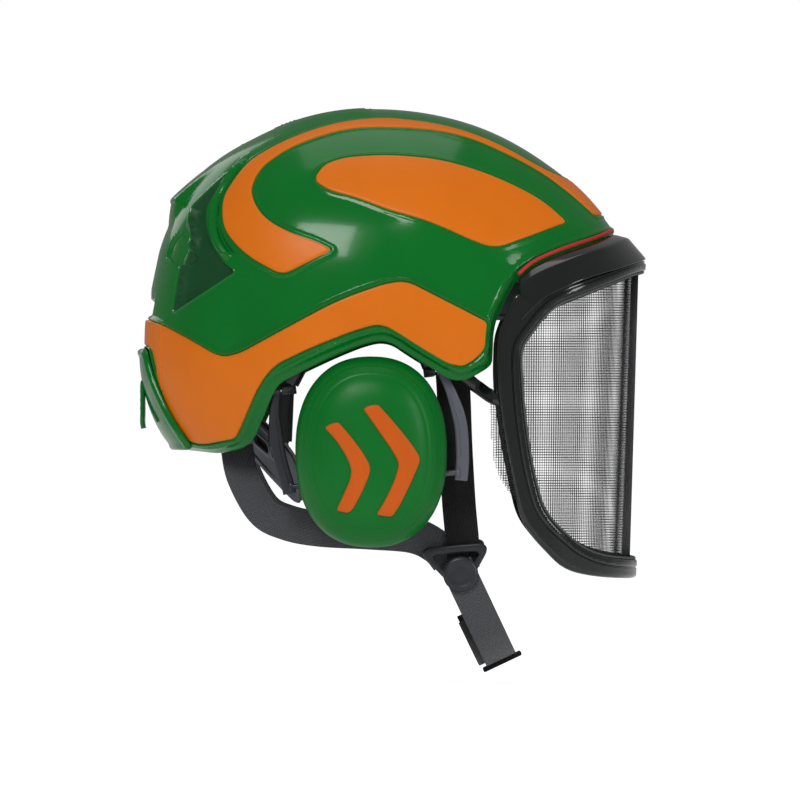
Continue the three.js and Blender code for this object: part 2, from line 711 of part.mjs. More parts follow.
// Chevrons on the flat face: a bar that goes forwards to its tip and back again.
function chevron(outline) {
  const bar = sidePrism(outline, -140, -100);
  const grown = (grow) => {
    const rings = [...CUP_OUTSIDE].map(([shrink, out]) => cupRing([shrink - grow, out + grow]));
    return loft(rings);
  };
  return bar.intersect(grown(GAP + 1)).subtract(grown(GAP));
}
const SMALL_CHEVRON = [
  [-36.2, -74.6], [-26, -74.6], [-9.5, -98], [-16, -125], [-26.4, -130], [-34.5, -130],
  [-20.5, -99],
];
const LARGE_CHEVRON = [
  [-13, -64.2], [-3, -64.2], [20.6, -93], [18, -104], [2.6, -130.8], [-13, -133],
  [5, -99],
];

function earCushion() {
  const sizes = [
    [0, 76.5], [0, 86.5], [2.5, 89], [14.5, 89], [17, 86.5], [17, 76.5], [14.5, 74], [2.5, 74],
  ];
  const rings = sizes.map(([shrink, out]) => {
    const half = { x: 38.5 - shrink, z: 52.5 - shrink };
    return superellipse(CUP_CENTRE, half, CUP_POWER, -out);
  });
  return loft(rings, true);
}

function earFoam() {
  const rings = [[0, 94], [0, 99]].map(([shrink, out]) => {
    const half = { x: 36 - shrink, z: 47 - shrink };
    return superellipse(CUP_CENTRE, half, CUP_POWER, -out);
  });
  return loft(rings);
}

// ---------------------------------------------------------------- harness
function frontStrap() {
  const points = [
    [38, 76, -7.5], [40, 74.6, -28], [42.2, 71.4, -54], [43.6, 70.4, -90], [45.6, 70.6, -125],
    [47.6, 72.2, -148], [48, 73.4, -164],
  ];
  const curve = new THREE.CatmullRomCurve3(
    points.map(([x, out, z]) => new THREE.Vector3(x, -out, z)),
  );
  const path = curve.getSpacedPoints(11);
  return ribbon(path, path.map(() => new THREE.Vector3(1, 0, 0.06)), STRAP_WIDTH, STRAP_THICK);
}

function rearStrap() {
  return sideStrip(
    [
      [-91, 44, -91], [-87, 56, -109], [-75, 63.5, -130], [-60, 65.4, -138], [-40, 66, -141.8],
      [-10, 66.6, -143.5], [16.6, 68.6, -145.7], [30.7, 69.8, -152], [38, 69.8, -160],
    ],
    STRAP_WIDTH, STRAP_THICK, 18,
  );
}

const DIVIDER_LAYER = [74.8, 78.2];
function roundedTriangle(corners, radius) {
  const shape = new THREE.Shape();
  corners.forEach(([x, z], i) => {
    const [px, pz] = corners[(i + corners.length - 1) % corners.length];
    const [nx, nz] = corners[(i + 1) % corners.length];
    const back = Math.hypot(px - x, pz - z);
    const on = Math.hypot(nx - x, nz - z);
    const from = [x + ((px - x) * radius) / back, z + ((pz - z) * radius) / back];
    const to = [x + ((nx - x) * radius) / on, z + ((nz - z) * radius) / on];
    if (i === 0) shape.moveTo(...from);
    else shape.lineTo(...from);
    shape.quadraticCurveTo(x, z, ...to);
  });
  shape.closePath();
  return shape.getPoints(4).slice(0, -1).map((p) => [p.x, p.y]);
}

function strapDivider() {
  const outer = roundedTriangle([[18.6, -152.6], [66, -148.6], [47, -182]], 11);
  const inner = roundedTriangle([[27.5, -157], [59, -154.4], [45.5, -173]], 5);
  const [low, high] = [-DIVIDER_LAYER[1], -DIVIDER_LAYER[0]];
  return cut(sidePrism(outer, low, high), sidePrism(inner, low - 1, high + 1));
}

function dividerDisc() {
  const { x, z } = CHIN_PIVOT;
  const low = new THREE.Vector3(x, -80.5, z);
  return rod(low, new THREE.Vector3(x, -84, z), 10.8, 9.6, 24);
}

// The chin strap hangs in a U: each point is [distance from the middle, distance down
// along CHIN_DOWN from the discs].
const CHIN_DROP = 59.5;
const CHIN_PATH = [
  [79.3, -7], [79.3, 14], [76, 28], [66, 42], [48, 53], [24, 58.4], [0, CHIN_DROP],
];

function chinBand(inset, first, width, shift, thick) {
  const across = new THREE.Vector3(-CHIN_DOWN.z, 0, CHIN_DOWN.x);
  const half = CHIN_PATH.slice(first);
  const place = ([out, down], side) => {
    const share = down / CHIN_DROP;
    const y = side * (out - inset * (1 - Math.max(share, 0) ** 3));
    return CHIN_PIVOT.clone().addScaledVector(CHIN_DOWN, down - inset * share)
      .addScaledVector(across, shift).add(new THREE.Vector3(0, y, 0));
  };
  const right = half.map((point) => place(point, -1));
  const left = half.slice(0, -1).reverse().map((point) => place(point, 1));
  const curve = new THREE.CatmullRomCurve3([...right, ...left]);
  const path = curve.getSpacedPoints(22);
  return ribbon(path, path.map(() => across), width, thick);
}

function chinKeeper() {
  const across = new THREE.Vector3(-CHIN_DOWN.z, 0, CHIN_DOWN.x);
  const bottom = CHIN_PIVOT.clone().addScaledVector(CHIN_DOWN, CHIN_DROP + 2.6);
  const path = [-13, 0, 13].map((y) => bottom.clone().add(new THREE.Vector3(0, y, 0)));
  const bow = path.map((p, i) => p.addScaledVector(CHIN_DOWN, i === 1 ? 0 : -0.5));
  return ribbon(bow, path.map(() => across), 26, 2.4);
}

// ---------------------------------------------------------------- assembly
add('outer_shell', outerShell(), GREEN);
add('vent_slider', crownSector(VENT_SLIDER), GREEN);
addPair('side_band', insert(SIDE_BAND, -0.3), ORANGE);
addPair('crescent', insert(CRESCENT, -0.3), ORANGE);
addPair('side_panel', insert(SIDE_PANEL, -20), ORANGE);
add('rear_bracket', rearBracket(), GREEN);
add('strap_clip', strapClip(), GREEN);

add('liner', liner(), FOAM_BLACK);
add('crown_pad', crownPad(), FOAM_BLACK);
add('headband', arcBand(HEADBAND), DARK_GREY);
add('sweatband', arcBand(SWEATBAND), FOAM_BLACK);
addPair('cradle_arm', cradleArm(), DARK_GREY);
add('nape_cradle', napeCradle(), MID_GREY);
add('nape_pad', napeBand(56, 5.2, 20, 5, 12), FOAM_BLACK);
add('ratchet_housing', ratchetHousing(), DARK_GREY);
add('size_knob', sizeKnob(), DARK_GREY);

add('visor_frame', visorFrame(), GLOSS_BLACK);
add('visor_gauze', visorGauze(), GAUZE);
add('visor_seal', visorSeal(), RED);
addPair('visor_arm', visorArm(), GLOSS_BLACK);
addPair('visor_pivot', visorPivot(), DARK_GREY);

addPair('ear_mount', earMount(), DARK_GREY);
addPair('ear_carrier', earCarrier(), DARK_GREY);
for (const pin of SWING_PINS) addPair(`swing_pin_${pin.name}`, swingPin(pin), STEEL);
addPair('ear_leg_rear', rearLeg(), DARK_GREY);
addPair('ear_leg_front', frontLeg(), MID_GREY);
addPair('ear_cup', earCup(), GREEN);
addPair('chevron_small', chevron(SMALL_CHEVRON), ORANGE);
addPair('chevron_large', chevron(LARGE_CHEVRON), ORANGE);
addPair('ear_cushion', earCushion(), FOAM_BLACK);
addPair('ear_foam', earFoam(), FOAM_BLACK);

addPair('front_strap', frontStrap(), WEB_BLACK);
addPair('rear_strap', rearStrap(), WEB_GREY);
addPair('strap_divider', strapDivider(), DARK_GREY);
addPair('divider_disc', dividerDisc(), MID_GREY);
add('chin_strap', chinBand(0, 0, STRAP_WIDTH, 0, STRAP_THICK), WEB_GREY);
add('chin_lining', chinBand(2.2, 2, STRAP_WIDTH + 3, -2.5, STRAP_THICK), WEB_BLACK);
add('chin_keeper', chinKeeper(), WEB_BLACK);

export default helmet;
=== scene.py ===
import math

import bmesh
import bpy
import numpy as np
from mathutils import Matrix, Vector


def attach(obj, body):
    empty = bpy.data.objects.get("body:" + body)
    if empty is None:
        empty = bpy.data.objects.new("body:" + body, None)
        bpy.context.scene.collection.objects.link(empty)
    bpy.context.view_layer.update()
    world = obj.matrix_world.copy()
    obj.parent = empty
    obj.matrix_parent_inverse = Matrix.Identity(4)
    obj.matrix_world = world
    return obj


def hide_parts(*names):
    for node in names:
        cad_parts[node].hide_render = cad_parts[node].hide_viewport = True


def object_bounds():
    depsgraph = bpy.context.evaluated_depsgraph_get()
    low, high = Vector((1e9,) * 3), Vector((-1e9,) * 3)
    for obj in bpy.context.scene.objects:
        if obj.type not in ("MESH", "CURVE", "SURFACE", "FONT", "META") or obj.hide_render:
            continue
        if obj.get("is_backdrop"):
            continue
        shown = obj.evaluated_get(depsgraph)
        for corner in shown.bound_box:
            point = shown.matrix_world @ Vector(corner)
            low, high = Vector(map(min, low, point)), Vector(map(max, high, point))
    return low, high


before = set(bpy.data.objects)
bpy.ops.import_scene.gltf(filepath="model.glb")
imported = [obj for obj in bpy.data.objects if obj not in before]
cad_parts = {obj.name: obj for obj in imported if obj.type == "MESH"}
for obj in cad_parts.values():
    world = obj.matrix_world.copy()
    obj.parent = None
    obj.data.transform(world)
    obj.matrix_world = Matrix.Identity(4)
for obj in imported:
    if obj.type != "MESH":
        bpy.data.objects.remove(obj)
cad_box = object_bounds()

# Lengths in this file are millimetres in the part's frame: +X is where the wearer
# looks, +Z is up, -Y is the wearer's right. MM turns them into Blender's metres.
MM = 0.001

# ---------------------------------------------------------------- camera
VIEW_CENTRE = Vector((9.3, 0.0, -62.0)) * MM
VIEW_DISTANCE = 5.0
VIEW_WIDTH = 0.496  # width of the frame in the plane of symmetry
SENSOR = 36.0

camera = bpy.data.objects.new("camera", bpy.data.cameras.new("camera"))
bpy.context.scene.collection.objects.link(camera)
camera.data.sensor_width = SENSOR
camera.data.lens = SENSOR * VIEW_DISTANCE / VIEW_WIDTH
camera.data.clip_end = 100
camera.location = VIEW_CENTRE + Vector((0, -VIEW_DISTANCE, 0))
camera.rotation_euler = (math.pi / 2, 0, 0)
bpy.context.scene.camera = camera


# ---------------------------------------------------------------- materials
def linear(r, g, b):
    """A display colour of 0 to 255 as a linear one with alpha."""
    def one(value):
        value /= 255
        return value / 12.92 if value <= 0.04045 else ((value + 0.055) / 1.055) ** 2.4
    return (one(r), one(g), one(b), 1.0)


class Shader:
    """A principled material whose colour, roughness and bump come from textures."""

    def __init__(self, name, roughness=0.4, metallic=0.0, specular=0.5, coat=0.0):
        self.material = bpy.data.materials.new(name)
        self.material.use_nodes = True
        self.tree = self.material.node_tree
        self.principled = self.tree.nodes["Principled BSDF"]
        inputs = self.principled.inputs
        inputs["Roughness"].default_value = roughness
        inputs["Metallic"].default_value = metallic
        inputs["Specular IOR Level"].default_value = specular
        inputs["Coat Weight"].default_value = coat
        inputs["Coat Roughness"].default_value = 0.06
        self.normal = None

    def node(self, kind, inputs=(), **settings):
        node = self.tree.nodes.new(kind)
        for key, value in settings.items():
            setattr(node, key, value)
        for key, value in dict(inputs).items():
            if isinstance(value, bpy.types.NodeSocket):
                self.tree.links.new(value, node.inputs[key])
            else:
                node.inputs[key].default_value = value
        return node

    def coordinates(self, kind="Object"):
        return self.node("ShaderNodeTexCoord").outputs[kind]

    def noise(self, size, detail=3.0, stretch=None):
        """Noise whose features are about size millimetres across."""
        vector = self.coordinates()
        if stretch:
            mapped = self.node("ShaderNodeMapping", {"Vector": vector, "Scale": stretch})
            vector = mapped.outputs["Vector"]
        inputs = {"Vector": vector, "Scale": 1000 / size, "Detail": detail}
        return self.node("ShaderNodeTexNoise", inputs).outputs["Fac"]

    def ramp(self, factor, stops):
        node = self.node("ShaderNodeValToRGB", {"Fac": factor})
        for i, (place, color) in enumerate(stops):
            if i > 1:
                node.color_ramp.elements.new(place)
            node.color_ramp.elements[i].position = place
            node.color_ramp.elements[i].color = color
        return node.outputs["Color"]

    def color(self, socket):
        self.tree.links.new(socket, self.principled.inputs["Base Color"])

    def rough(self, factor, low, high):
        span = {"Value": factor, "To Min": low, "To Max": high}
        spread = self.node("ShaderNodeMapRange", span)
        self.tree.links.new(spread.outputs["Result"], self.principled.inputs["Roughness"])

    def bump(self, height, depth, strength=1.0):
        """Bump whose full height is depth millimetres. Calls add up."""
        inputs = {"Height": height, "Distance": depth * MM, "Strength": strength}
        if self.normal:
            inputs["Normal"] = self.normal
        self.normal = self.node("ShaderNodeBump", inputs).outputs["Normal"]
        self.tree.links.new(self.normal, self.principled.inputs["Normal"])


def shade(color, factor):
    return tuple(min(c * factor, 1.0) for c in color[:3]) + (1.0,)


def moulded(name, color, roughness, grain=0.5, depth=0.02, spread=0.06, **more):
    """Moulded plastic: faint flow variation, uneven gloss and a fine surface grain."""
    shader = Shader(name, roughness, **more)
    flow = shader.noise(38, 2.0, (1.0, 1.0, 0.6))
    stops = [(0.3, shade(color, 1 - spread)), (0.7, shade(color, 1 + spread))]
    shader.color(shader.ramp(flow, stops))
    shader.rough(shader.noise(9, 4.0), roughness * 0.85, roughness * 1.2)
    shader.bump(shader.noise(14, 1.0), depth * 2.5, 0.4)
    shader.bump(shader.noise(grain, 3.0), depth, 0.5)
    return shader.material


def webbing(name, color, dark):
    """Woven webbing: a herringbone twill crossed by ribs along the strap."""
    shader = Shader(name, 0.8, specular=0.25)
    shader.principled.inputs["Sheen Weight"].default_value = 0.3
    uv = shader.coordinates("UV")
    parts = shader.node("ShaderNodeSeparateXYZ", {"Vector": uv})
    fold = shader.node("ShaderNodeMath", {0: parts.outputs["X"]}, operation="ABSOLUTE")
    joined = shader.node(
        "ShaderNodeCombineXYZ", {"X": fold.outputs[0], "Y": parts.outputs["Y"]}
    )
    turned = shader.node(
        "ShaderNodeMapping",
        {"Vector": joined.outputs[0], "Rotation": (0, 0, math.radians(38))},
    )
    twill = shader.node(
        "ShaderNodeTexWave", {"Vector": turned.outputs[0], "Scale": 0.42, "Distortion": 0.6},
        bands_direction="Y",
    )
    warp = shader.node(
        "ShaderNodeTexWave", {"Vector": uv, "Scale": 0.36, "Distortion": 0.3},
        bands_direction="X",
    )
    both = shader.node(
        "ShaderNodeMath", {0: twill.outputs["Fac"], 1: warp.outputs["Fac"]}, operation="MULTIPLY"
    )
    shader.color(shader.ramp(both.outputs[0], [(0.05, dark), (0.75, color)]))
    shader.bump(both.outputs[0], 0.35, 0.8)
    shader.bump(shader.noise(0.35, 2.0), 0.1, 0.6)
    return shader.material


def foamed(name, color, cell, depth):
    """Foam: open cells of about cell millimetres."""
    shader = Shader(name, 0.9, specular=0.2)
    inputs = {"Vector": shader.coordinates(), "Scale": 1000 / cell}
    cells = shader.node("ShaderNodeTexVoronoi", inputs).outputs["Distance"]
    stops = [(0.1, shade(color, 0.6)), (0.8, shade(color, 1.25))]
    shader.color(shader.ramp(cells, stops))
    shader.bump(cells, depth, 0.7)
    shader.bump(shader.noise(6, 3.0), 0.2, 0.5)
    return shader.material


def leathery(name, color):
    """Thin artificial leather over padding: fine creased grain."""
    shader = Shader(name, 0.5, specular=0.4)
    inputs = {"Vector": shader.coordinates(), "Scale": 700, "Randomness": 1.0}
    cells = shader.node("ShaderNodeTexVoronoi", inputs, feature="DISTANCE_TO_EDGE")
    stops = [(0.0, shade(color, 0.55)), (0.25, shade(color, 1.1))]
    shader.color(shader.ramp(cells.outputs["Distance"], stops))
    shader.rough(shader.noise(5, 3.0), 0.42, 0.6)
    shader.bump(cells.outputs["Distance"], 0.12, 0.6)
    shader.bump(shader.noise(7, 4.0), 0.5, 0.4)
    return shader.material


def brushed(name, color, roughness, stretch=(1, 1, 12)):
    shader = Shader(name, roughness, metallic=1.0)
    lines = shader.noise(0.8, 4.0, stretch)
    shader.color(shader.ramp(lines, [(0.3, shade(color, 0.8)), (0.7, shade(color, 1.1))]))
    shader.rough(lines, roughness * 0.8, roughness * 1.3)
    shader.bump(lines, 0.02, 0.4)
    return shader.material


GREEN = moulded("shell_green", linear(0, 116, 37), 0.16, 0.7, 0.012, 0.06, specular=0.25, coat=0.2)
# Recess floor green: a rougher satin finish, and darker than the shell as painted shade of the
# recess.
SATIN_WITH_PAINTED_SHADE = moulded("recess_satin_painted_shade", linear(20, 82, 42), 0.42, 0.6, 0.03, 0.12, specular=0.25)
CUP_GREEN = moulded("cup_green", linear(0, 118, 38), 0.36, 0.5, 0.03, 0.05, specular=0.25)
ORANGE = moulded("insert_orange", linear(238, 122, 18), 0.34, 0.5, 0.02, 0.03, specular=0.25)
CHEVRON = moulded("chevron_orange", linear(222, 100, 24), 0.42, 0.5, 0.03, 0.04, specular=0.2)
GLOSS = moulded("frame_black", linear(20, 23, 23), 0.12, 0.8, 0.01, 0.08, coat=0.4)
DARK = moulded("dark_plastic", linear(44, 46, 52), 0.34, 0.4, 0.03, 0.08)
GREY = moulded("grey_plastic", linear(98, 101, 110), 0.36, 0.4, 0.03, 0.06)
GASKET = moulded("gasket_grey", linear(82, 86, 86), 0.6, 0.4, 0.03, 0.05)
RED = moulded("seal_red", linear(206, 30, 40), 0.45, 0.4, 0.03, 0.05)
WEB_GREY = webbing("webbing_grey", linear(122, 125, 130), linear(62, 64, 68))
WEB_BLACK = webbing("webbing_black", linear(52, 51, 56), linear(14, 14, 16))
LINING = webbing("webbing_lining", linear(34, 33, 36), linear(10, 10, 12))
FOAM = foamed("liner_foam", linear(38, 39, 42), 2.2, 0.25)
EAR_FOAM = foamed("ear_foam", linear(58, 60, 64), 1.2, 0.4)
PADDING = leathery("padding_black", linear(34, 34, 37))
STEEL = brushed("pin_steel", linear(196, 198, 200), 0.25)
WIRE = brushed("wire_dark", linear(92, 92, 94), 0.42, (1, 1, 1))


# ---------------------------------------------------------------- meshes
def add(name, points, faces, material, body, replaces=(), sharp=40, uv=None):
    """A mesh piece that rides on a body and stands for the CAD nodes in replaces."""
    mesh = bpy.data.meshes.new(name)
    mesh.from_pydata((np.asarray(points) * MM).tolist(), [], [tuple(f) for f in faces])
    if uv is not None:
        layer = mesh.uv_layers.new(name="strip")
        corners = np.zeros(len(mesh.loops), dtype=np.int32)
        mesh.loops.foreach_get("vertex_index", corners)
        layer.data.foreach_set("uv", np.asarray(uv, dtype=np.float32)[corners].ravel())
    mesh.polygons.foreach_set("use_smooth", [True] * len(mesh.polygons))
    if sharp:
        mesh.set_sharp_from_angle(angle=math.radians(sharp))
    mesh.materials.append(material)
    piece = bpy.data.objects.new(name, mesh)
    bpy.context.scene.collection.objects.link(piece)
    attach(piece, body)
    if replaces:
        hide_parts(*replaces)
    return piece


def outward(points, faces):
    """The faces turned so that a closed mesh encloses a positive volume."""
    points = np.asarray(points)
    volume = 0.0
    for face in faces:
        a = points[face[0]]
        for i in range(1, len(face) - 1):
            volume += np.dot(a, np.cross(points[face[i]], points[face[i + 1]]))
    return [tuple(reversed(f)) for f in faces] if volume < 0 else [tuple(f) for f in faces]


def mirror(points, faces):
    flipped = np.asarray(points) * (1, -1, 1)
    return flipped, [tuple(reversed(f)) for f in faces]


SIDES = ("right", "left")


def add_pair(name, shape, material, body, replaces=(), **more):
    """The right-hand piece and its mirror image. "{}" in body and replaces is the side."""
    points, faces = shape
    pieces = []
    for side in SIDES:
        here = (points, faces) if side == "right" else mirror(points, faces)
        nodes = [node.format(side) for node in replaces]
        pieces.append(
            add(f"{name}_{side}", *here, material, body.format(side), nodes, **more)
        )
    return pieces


def joined(*shapes):
    """Several shapes as one list of points and faces."""
    points, faces, start = [], [], 0
    for shape_points, shape_faces in shapes:
        points.append(np.asarray(shape_points, dtype=float))
        faces += [tuple(int(i) + start for i in f) for f in shape_faces]
        start += len(shape_points)
    return np.vstack(points), faces


def loft(rings, closed=False):
    """Quads over rings of equally many points. The two ends are capped, or joined to
    each other when closed."""
    rings = np.asarray(rings, dtype=float)
    count, size = rings.shape[:2]
    faces = []
    for i in range(count if closed else count - 1):
        here, there = i * size, ((i + 1) % count) * size
        for j in range(size):
            k = (j + 1) % size
            faces.append((here + j, here + k, there + k, there + j))
    if not closed:
        faces.append(tuple(range(size))[::-1])
        faces.append(tuple((count - 1) * size + j for j in range(size)))
    points = rings.reshape(-1, 3)
    return points, outward(points, faces)


def smooth_path(points, count, closed=False):
    """count points evenly spaced on a curve through the given ones."""
    points = np.asarray(points, dtype=float)
    size = len(points)
    dense = []
    for i in range(size if closed else size - 1):
        around = [
            points[(i + k) % size] if closed else points[min(max(i + k, 0), size - 1)]
            for k in (-1, 0, 1, 2)
        ]
        a, b, c, d = around
        for t in np.linspace(0, 1, 24, endpoint=False):
            bend = 2 * a - 5 * b + 4 * c - d + t * (3 * (b - c) + d - a)
            dense.append(b + 0.5 * t * (c - a + t * bend))
    dense.append(points[0] if closed else points[-1])
    dense = np.array(dense)
    along = np.concatenate([[0], np.cumsum(np.linalg.norm(np.diff(dense, axis=0), axis=1))])
    wanted = np.linspace(0, along[-1], count + 1 if closed else count)
    if closed:
        wanted = wanted[:-1]
    return np.stack([np.interp(wanted, along, dense[:, k]) for k in range(dense.shape[1])], 1)


def unit(vectors):
    vectors = np.asarray(vectors, dtype=float)
    return vectors / np.maximum(np.linalg.norm(vectors, axis=-1, keepdims=True), 1e-9)


def rounded_box(width, thick, corner, steps=3):
    """The section of a bar with rounded corners, as points (across, out)."""
    ring = []
    for i, (a, b) in enumerate([(1, 1), (-1, 1), (-1, -1), (1, -1)]):
        centre = (a * (width / 2 - corner), b * (thick / 2 - corner))
        for j in range(steps + 1):
            angle = math.pi / 2 * (i + j / steps)
            ring.append((
                centre[0] + corner * math.cos(angle), centre[1] + corner * math.sin(angle)
            ))
    return np.array(ring)


def sweep(path, across, section):
    """A section carried along a path. across is the strip's width direction at each
    point, and section is one ring or a function of the share of the path done."""
    path = np.asarray(path, dtype=float)
    across = np.broadcast_to(np.asarray(across, dtype=float), path.shape)
    along = unit(np.gradient(path, axis=0))
    out = unit(np.cross(along, across))
    wide = unit(np.cross(out, along))
    rings = []
    for i, point in enumerate(path):
        ring = section(i / (len(path) - 1)) if callable(section) else section
        rings.append(point + ring[:, :1] * wide[i] + ring[:, 1:] * out[i])
    return loft(rings)


def strap(path, across, width, thick, corner=0.5, steps=2):
    """A flat strap along a path, with UV in millimetres: (points, faces, uv)."""
    ring = rounded_box(width, thick, corner, steps)
    points, faces = sweep(path, across, ring)
    lengths = np.linalg.norm(np.diff(np.asarray(path), axis=0), axis=1)
    along = np.concatenate([[0], np.cumsum(lengths)])
    uv = np.array([(x, v) for v in along for x in ring[:, 0]])
    return points, faces, uv


def turned(profile, start, direction, sides=48):
    """A body turned about an axis. profile is points (distance along, radius)."""
    direction = unit(direction)
    side = unit(np.cross(direction, (0.13, 0.97, 0.21)))
    other = np.cross(direction, side)
    rings = []
    for along, radius in profile:
        centre = np.asarray(start, dtype=float) + along * direction
        angles = np.linspace(0, 2 * math.pi, sides, endpoint=False)
        rings.append([
            centre + radius * (math.cos(a) * side + math.sin(a) * other) for a in angles
        ])
    return loft(rings)


# ---------------------------------------------------------------- outlines
def smooth_outline(points, corner=3.0, gentle=42):
    """A closed outline with its corners rounded. Gentle turns become smooth curves, and
    sharper ones keep a corner of about the given size."""
    points = np.asarray(points, dtype=float)
    out = []
    for i, here in enumerate(points):
        before, after = points[i - 1], points[(i + 1) % len(points)]
        back, on = np.linalg.norm(before - here), np.linalg.norm(after - here)
        cosine = np.dot(here - before, after - here) / (back * on)
        turn = math.degrees(math.acos(min(max(cosine, -1), 1)))
        reach = 0.5 * min(back, on)
        if turn > gentle:
            reach = min(reach, corner)
        start = here + (before - here) * reach / back
        end = here + (after - here) * reach / on
        for t in (0.0, 0.25, 0.5, 0.75):
            out.append((1 - t) ** 2 * start + 2 * t * (1 - t) * here + t * t * end)
        out.append(end)
    keep = [p for i, p in enumerate(out) if np.linalg.norm(p - out[i - 1]) > 1e-3]
    return np.array(keep)


def outline_distance(points, outline):
    """Distance of 2-D points from a closed outline, negative inside, and the unit
    direction in which it grows."""
    start = outline
    step = np.roll(outline, -1, axis=0) - start
    squared = (step ** 2).sum(1)
    best = np.full(len(points), 1e9)
    away = np.zeros((len(points), 2))
    inside = np.zeros(len(points), dtype=bool)
    x, z = points[:, 0], points[:, 1]
    for (ax, az), (sx, sz), square in zip(start, step, squared):
        t = np.clip(((x - ax) * sx + (z - az) * sz) / square, 0, 1)
        dx, dz = x - ax - t * sx, z - az - t * sz
        distance = dx * dx + dz * dz
        nearer = distance < best
        best = np.where(nearer, distance, best)
        away[nearer, 0], away[nearer, 1] = dx[nearer], dz[nearer]
        crosses = (az > z) != (az + sz > z)
        if sz:
            inside ^= crosses & (x < ax + sx * (z - az) / sz)
    best = np.sqrt(best)
    sign = np.where(inside, -1.0, 1.0)
    away *= (sign / np.maximum(best, 1e-6))[:, None]
    return best * sign, away


def line_distance(points, line):
    """Distance of 2-D points from an open line, positive on its left, the unit direction
    in which it grows, and how far along the line the nearest point is."""
    best = np.full(len(points), 1e9)
    signed = np.zeros(len(points))
    along = np.zeros(len(points))
    away = np.zeros((len(points), 2))
    done = 0.0
    x, z = points[:, 0], points[:, 1]
    for (ax, az), (bx, bz) in zip(line[:-1], line[1:]):
        sx, sz = bx - ax, bz - az
        length = math.hypot(sx, sz)
        t = np.clip(((x - ax) * sx + (z - az) * sz) / length ** 2, 0, 1)
        dx, dz = x - ax - t * sx, z - az - t * sz
        distance = np.hypot(dx, dz)
        side = np.where(sx * (z - az) - sz * (x - ax) >= 0, 1.0, -1.0)
        nearer = distance < best
        best = np.where(nearer, distance, best)
        signed = np.where(nearer, distance * side, signed)
        along = np.where(nearer, done + t * length, along)
        away[nearer, 0], away[nearer, 1] = (dx * side)[nearer], (dz * side)[nearer]
        done += length
    away /= np.maximum(best, 1e-6)[:, None]
    return signed, away, along


def profile(values, steps):
    """Straight-line interpolation through (value, height) steps."""
    places, heights = zip(*steps)
    return np.interp(values, places, heights)


def places_of(steps):
    """The places of (place, height) steps, for cutting a patch where a profile bends."""
    return [place for place, _ in steps]


def depths_of(steps):
    """The same for a profile that is counted inwards from an edge."""
    return [-place for place, _ in steps]


def ease(values, low, high):
    """0 below low, 1 above high, smooth between."""
    t = np.clip((values - low) / (high - low), 0, 1)
    return t * t * (3 - 2 * t)


# ---------------------------------------------------------------- patches
SNAP = 0.02  # a corner this near to a cut counts as being on it


class Patch:
    """A triangle mesh over surface parameters that can be cut along fields."""

    def __init__(self, params, faces, sphere=False):
        self.params = np.asarray(params, dtype=float)
        self.faces = np.asarray(faces, dtype=np.int64)
        self.sphere = sphere
        self.fields = {}
        self.values = {}

    def measure(self, name, function):
        self.fields[name] = function
        self.values[name] = function(self.params)

    def split(self, name, *levels):
        for level in levels:
            self.split_once(name, level)

    def split_once(self, name, level):
        values = self.values[name] - level
        values[np.abs(values) < SNAP] = 0
        sign = np.sign(values)[self.faces]
        mixed = (sign.min(1) < 0) & (sign.max(1) > 0)
        whole, cut, marks = self.faces[~mixed], self.faces[mixed], sign[mixed]
        if not len(cut):
            return
        through = (marks == 0).any(1)
        first = np.where(
            through, (marks == 0).argmax(1), (marks == -np.sign(marks.sum(1))[:, None]).argmax(1)
        )
        rows = np.arange(len(cut))
        a = cut[rows, first]
        b = cut[rows, (first + 1) % 3]
        c = cut[rows, (first + 2) % 3]
        edges = np.vstack([
            np.stack([b[through], c[through]], 1),
            np.stack([a[~through], b[~through]], 1),
            np.stack([a[~through], c[~through]], 1),
        ])
        edges.sort(axis=1)
        unique, where = np.unique(edges, axis=0, return_inverse=True)
        where = where.ravel() + len(self.params)
        low, high = values[unique[:, 0]], values[unique[:, 1]]
        share = (low / (low - high))[:, None]
        fresh = self.params[unique[:, 0]] * (1 - share) + self.params[unique[:, 1]] * share
        if self.sphere:
            fresh = unit(fresh)
        count, alone = through.sum(), (~through).sum()
        middle = where[:count]
        ab, ac = where[count:count + alone], where[count + alone:]
        at, bt, ct = a[through], b[through], c[through]
        an, bn, cn = a[~through], b[~through], c[~through]
        self.faces = np.vstack([
            whole,
            np.stack([at, bt, middle], 1), np.stack([at, middle, ct], 1),
            np.stack([an, ab, ac], 1), np.stack([ab, bn, cn], 1), np.stack([ab, cn, ac], 1),
        ])
        self.params = np.vstack([self.params, fresh])
        for key, function in self.fields.items():
            added = function(fresh)
            if key == name:
                added = np.full(len(fresh), float(level))
            self.values[key] = np.concatenate([self.values[key], added])

    def clip(self, name, level=0.0):
        """Keeps what lies below level."""
        self.split_once(name, level)
        middle = self.values[name][self.faces] - level
        widest = np.take_along_axis(middle, np.abs(middle).argmax(1)[:, None], 1)[:, 0]
        self.faces = self.faces[widest < 0]
        used, where = np.unique(self.faces, return_inverse=True)
        self.faces = where.reshape(self.faces.shape)
        self.params = self.params[used]
        self.values = {key: value[used] for key, value in self.values.items()}

    def copy(self):
        other = Patch(self.params.copy(), self.faces.copy(), self.sphere)
        other.fields = dict(self.fields)
        other.values = {key: value.copy() for key, value in self.values.items()}
        return other


def plate(patch, place, top, bottom):
    """A closed body between two heights over a patch."""
    upper, lower = place(patch.params, top), place(patch.params, bottom)
    faces, count = patch.faces, len(patch.params)
    edges = np.vstack([faces[:, [0, 1]], faces[:, [1, 2]], faces[:, [2, 0]]])
    keys = np.sort(edges, axis=1)
    unique, where, times = np.unique(keys, axis=0, return_inverse=True, return_counts=True)
    rim = edges[times[where.ravel()] == 1]
    walls = [(b, a, a + count, b + count) for a, b in rim.tolist()]
    everything = faces.tolist() + (faces[:, ::-1] + count).tolist() + walls
    return np.vstack([upper, lower]), everything


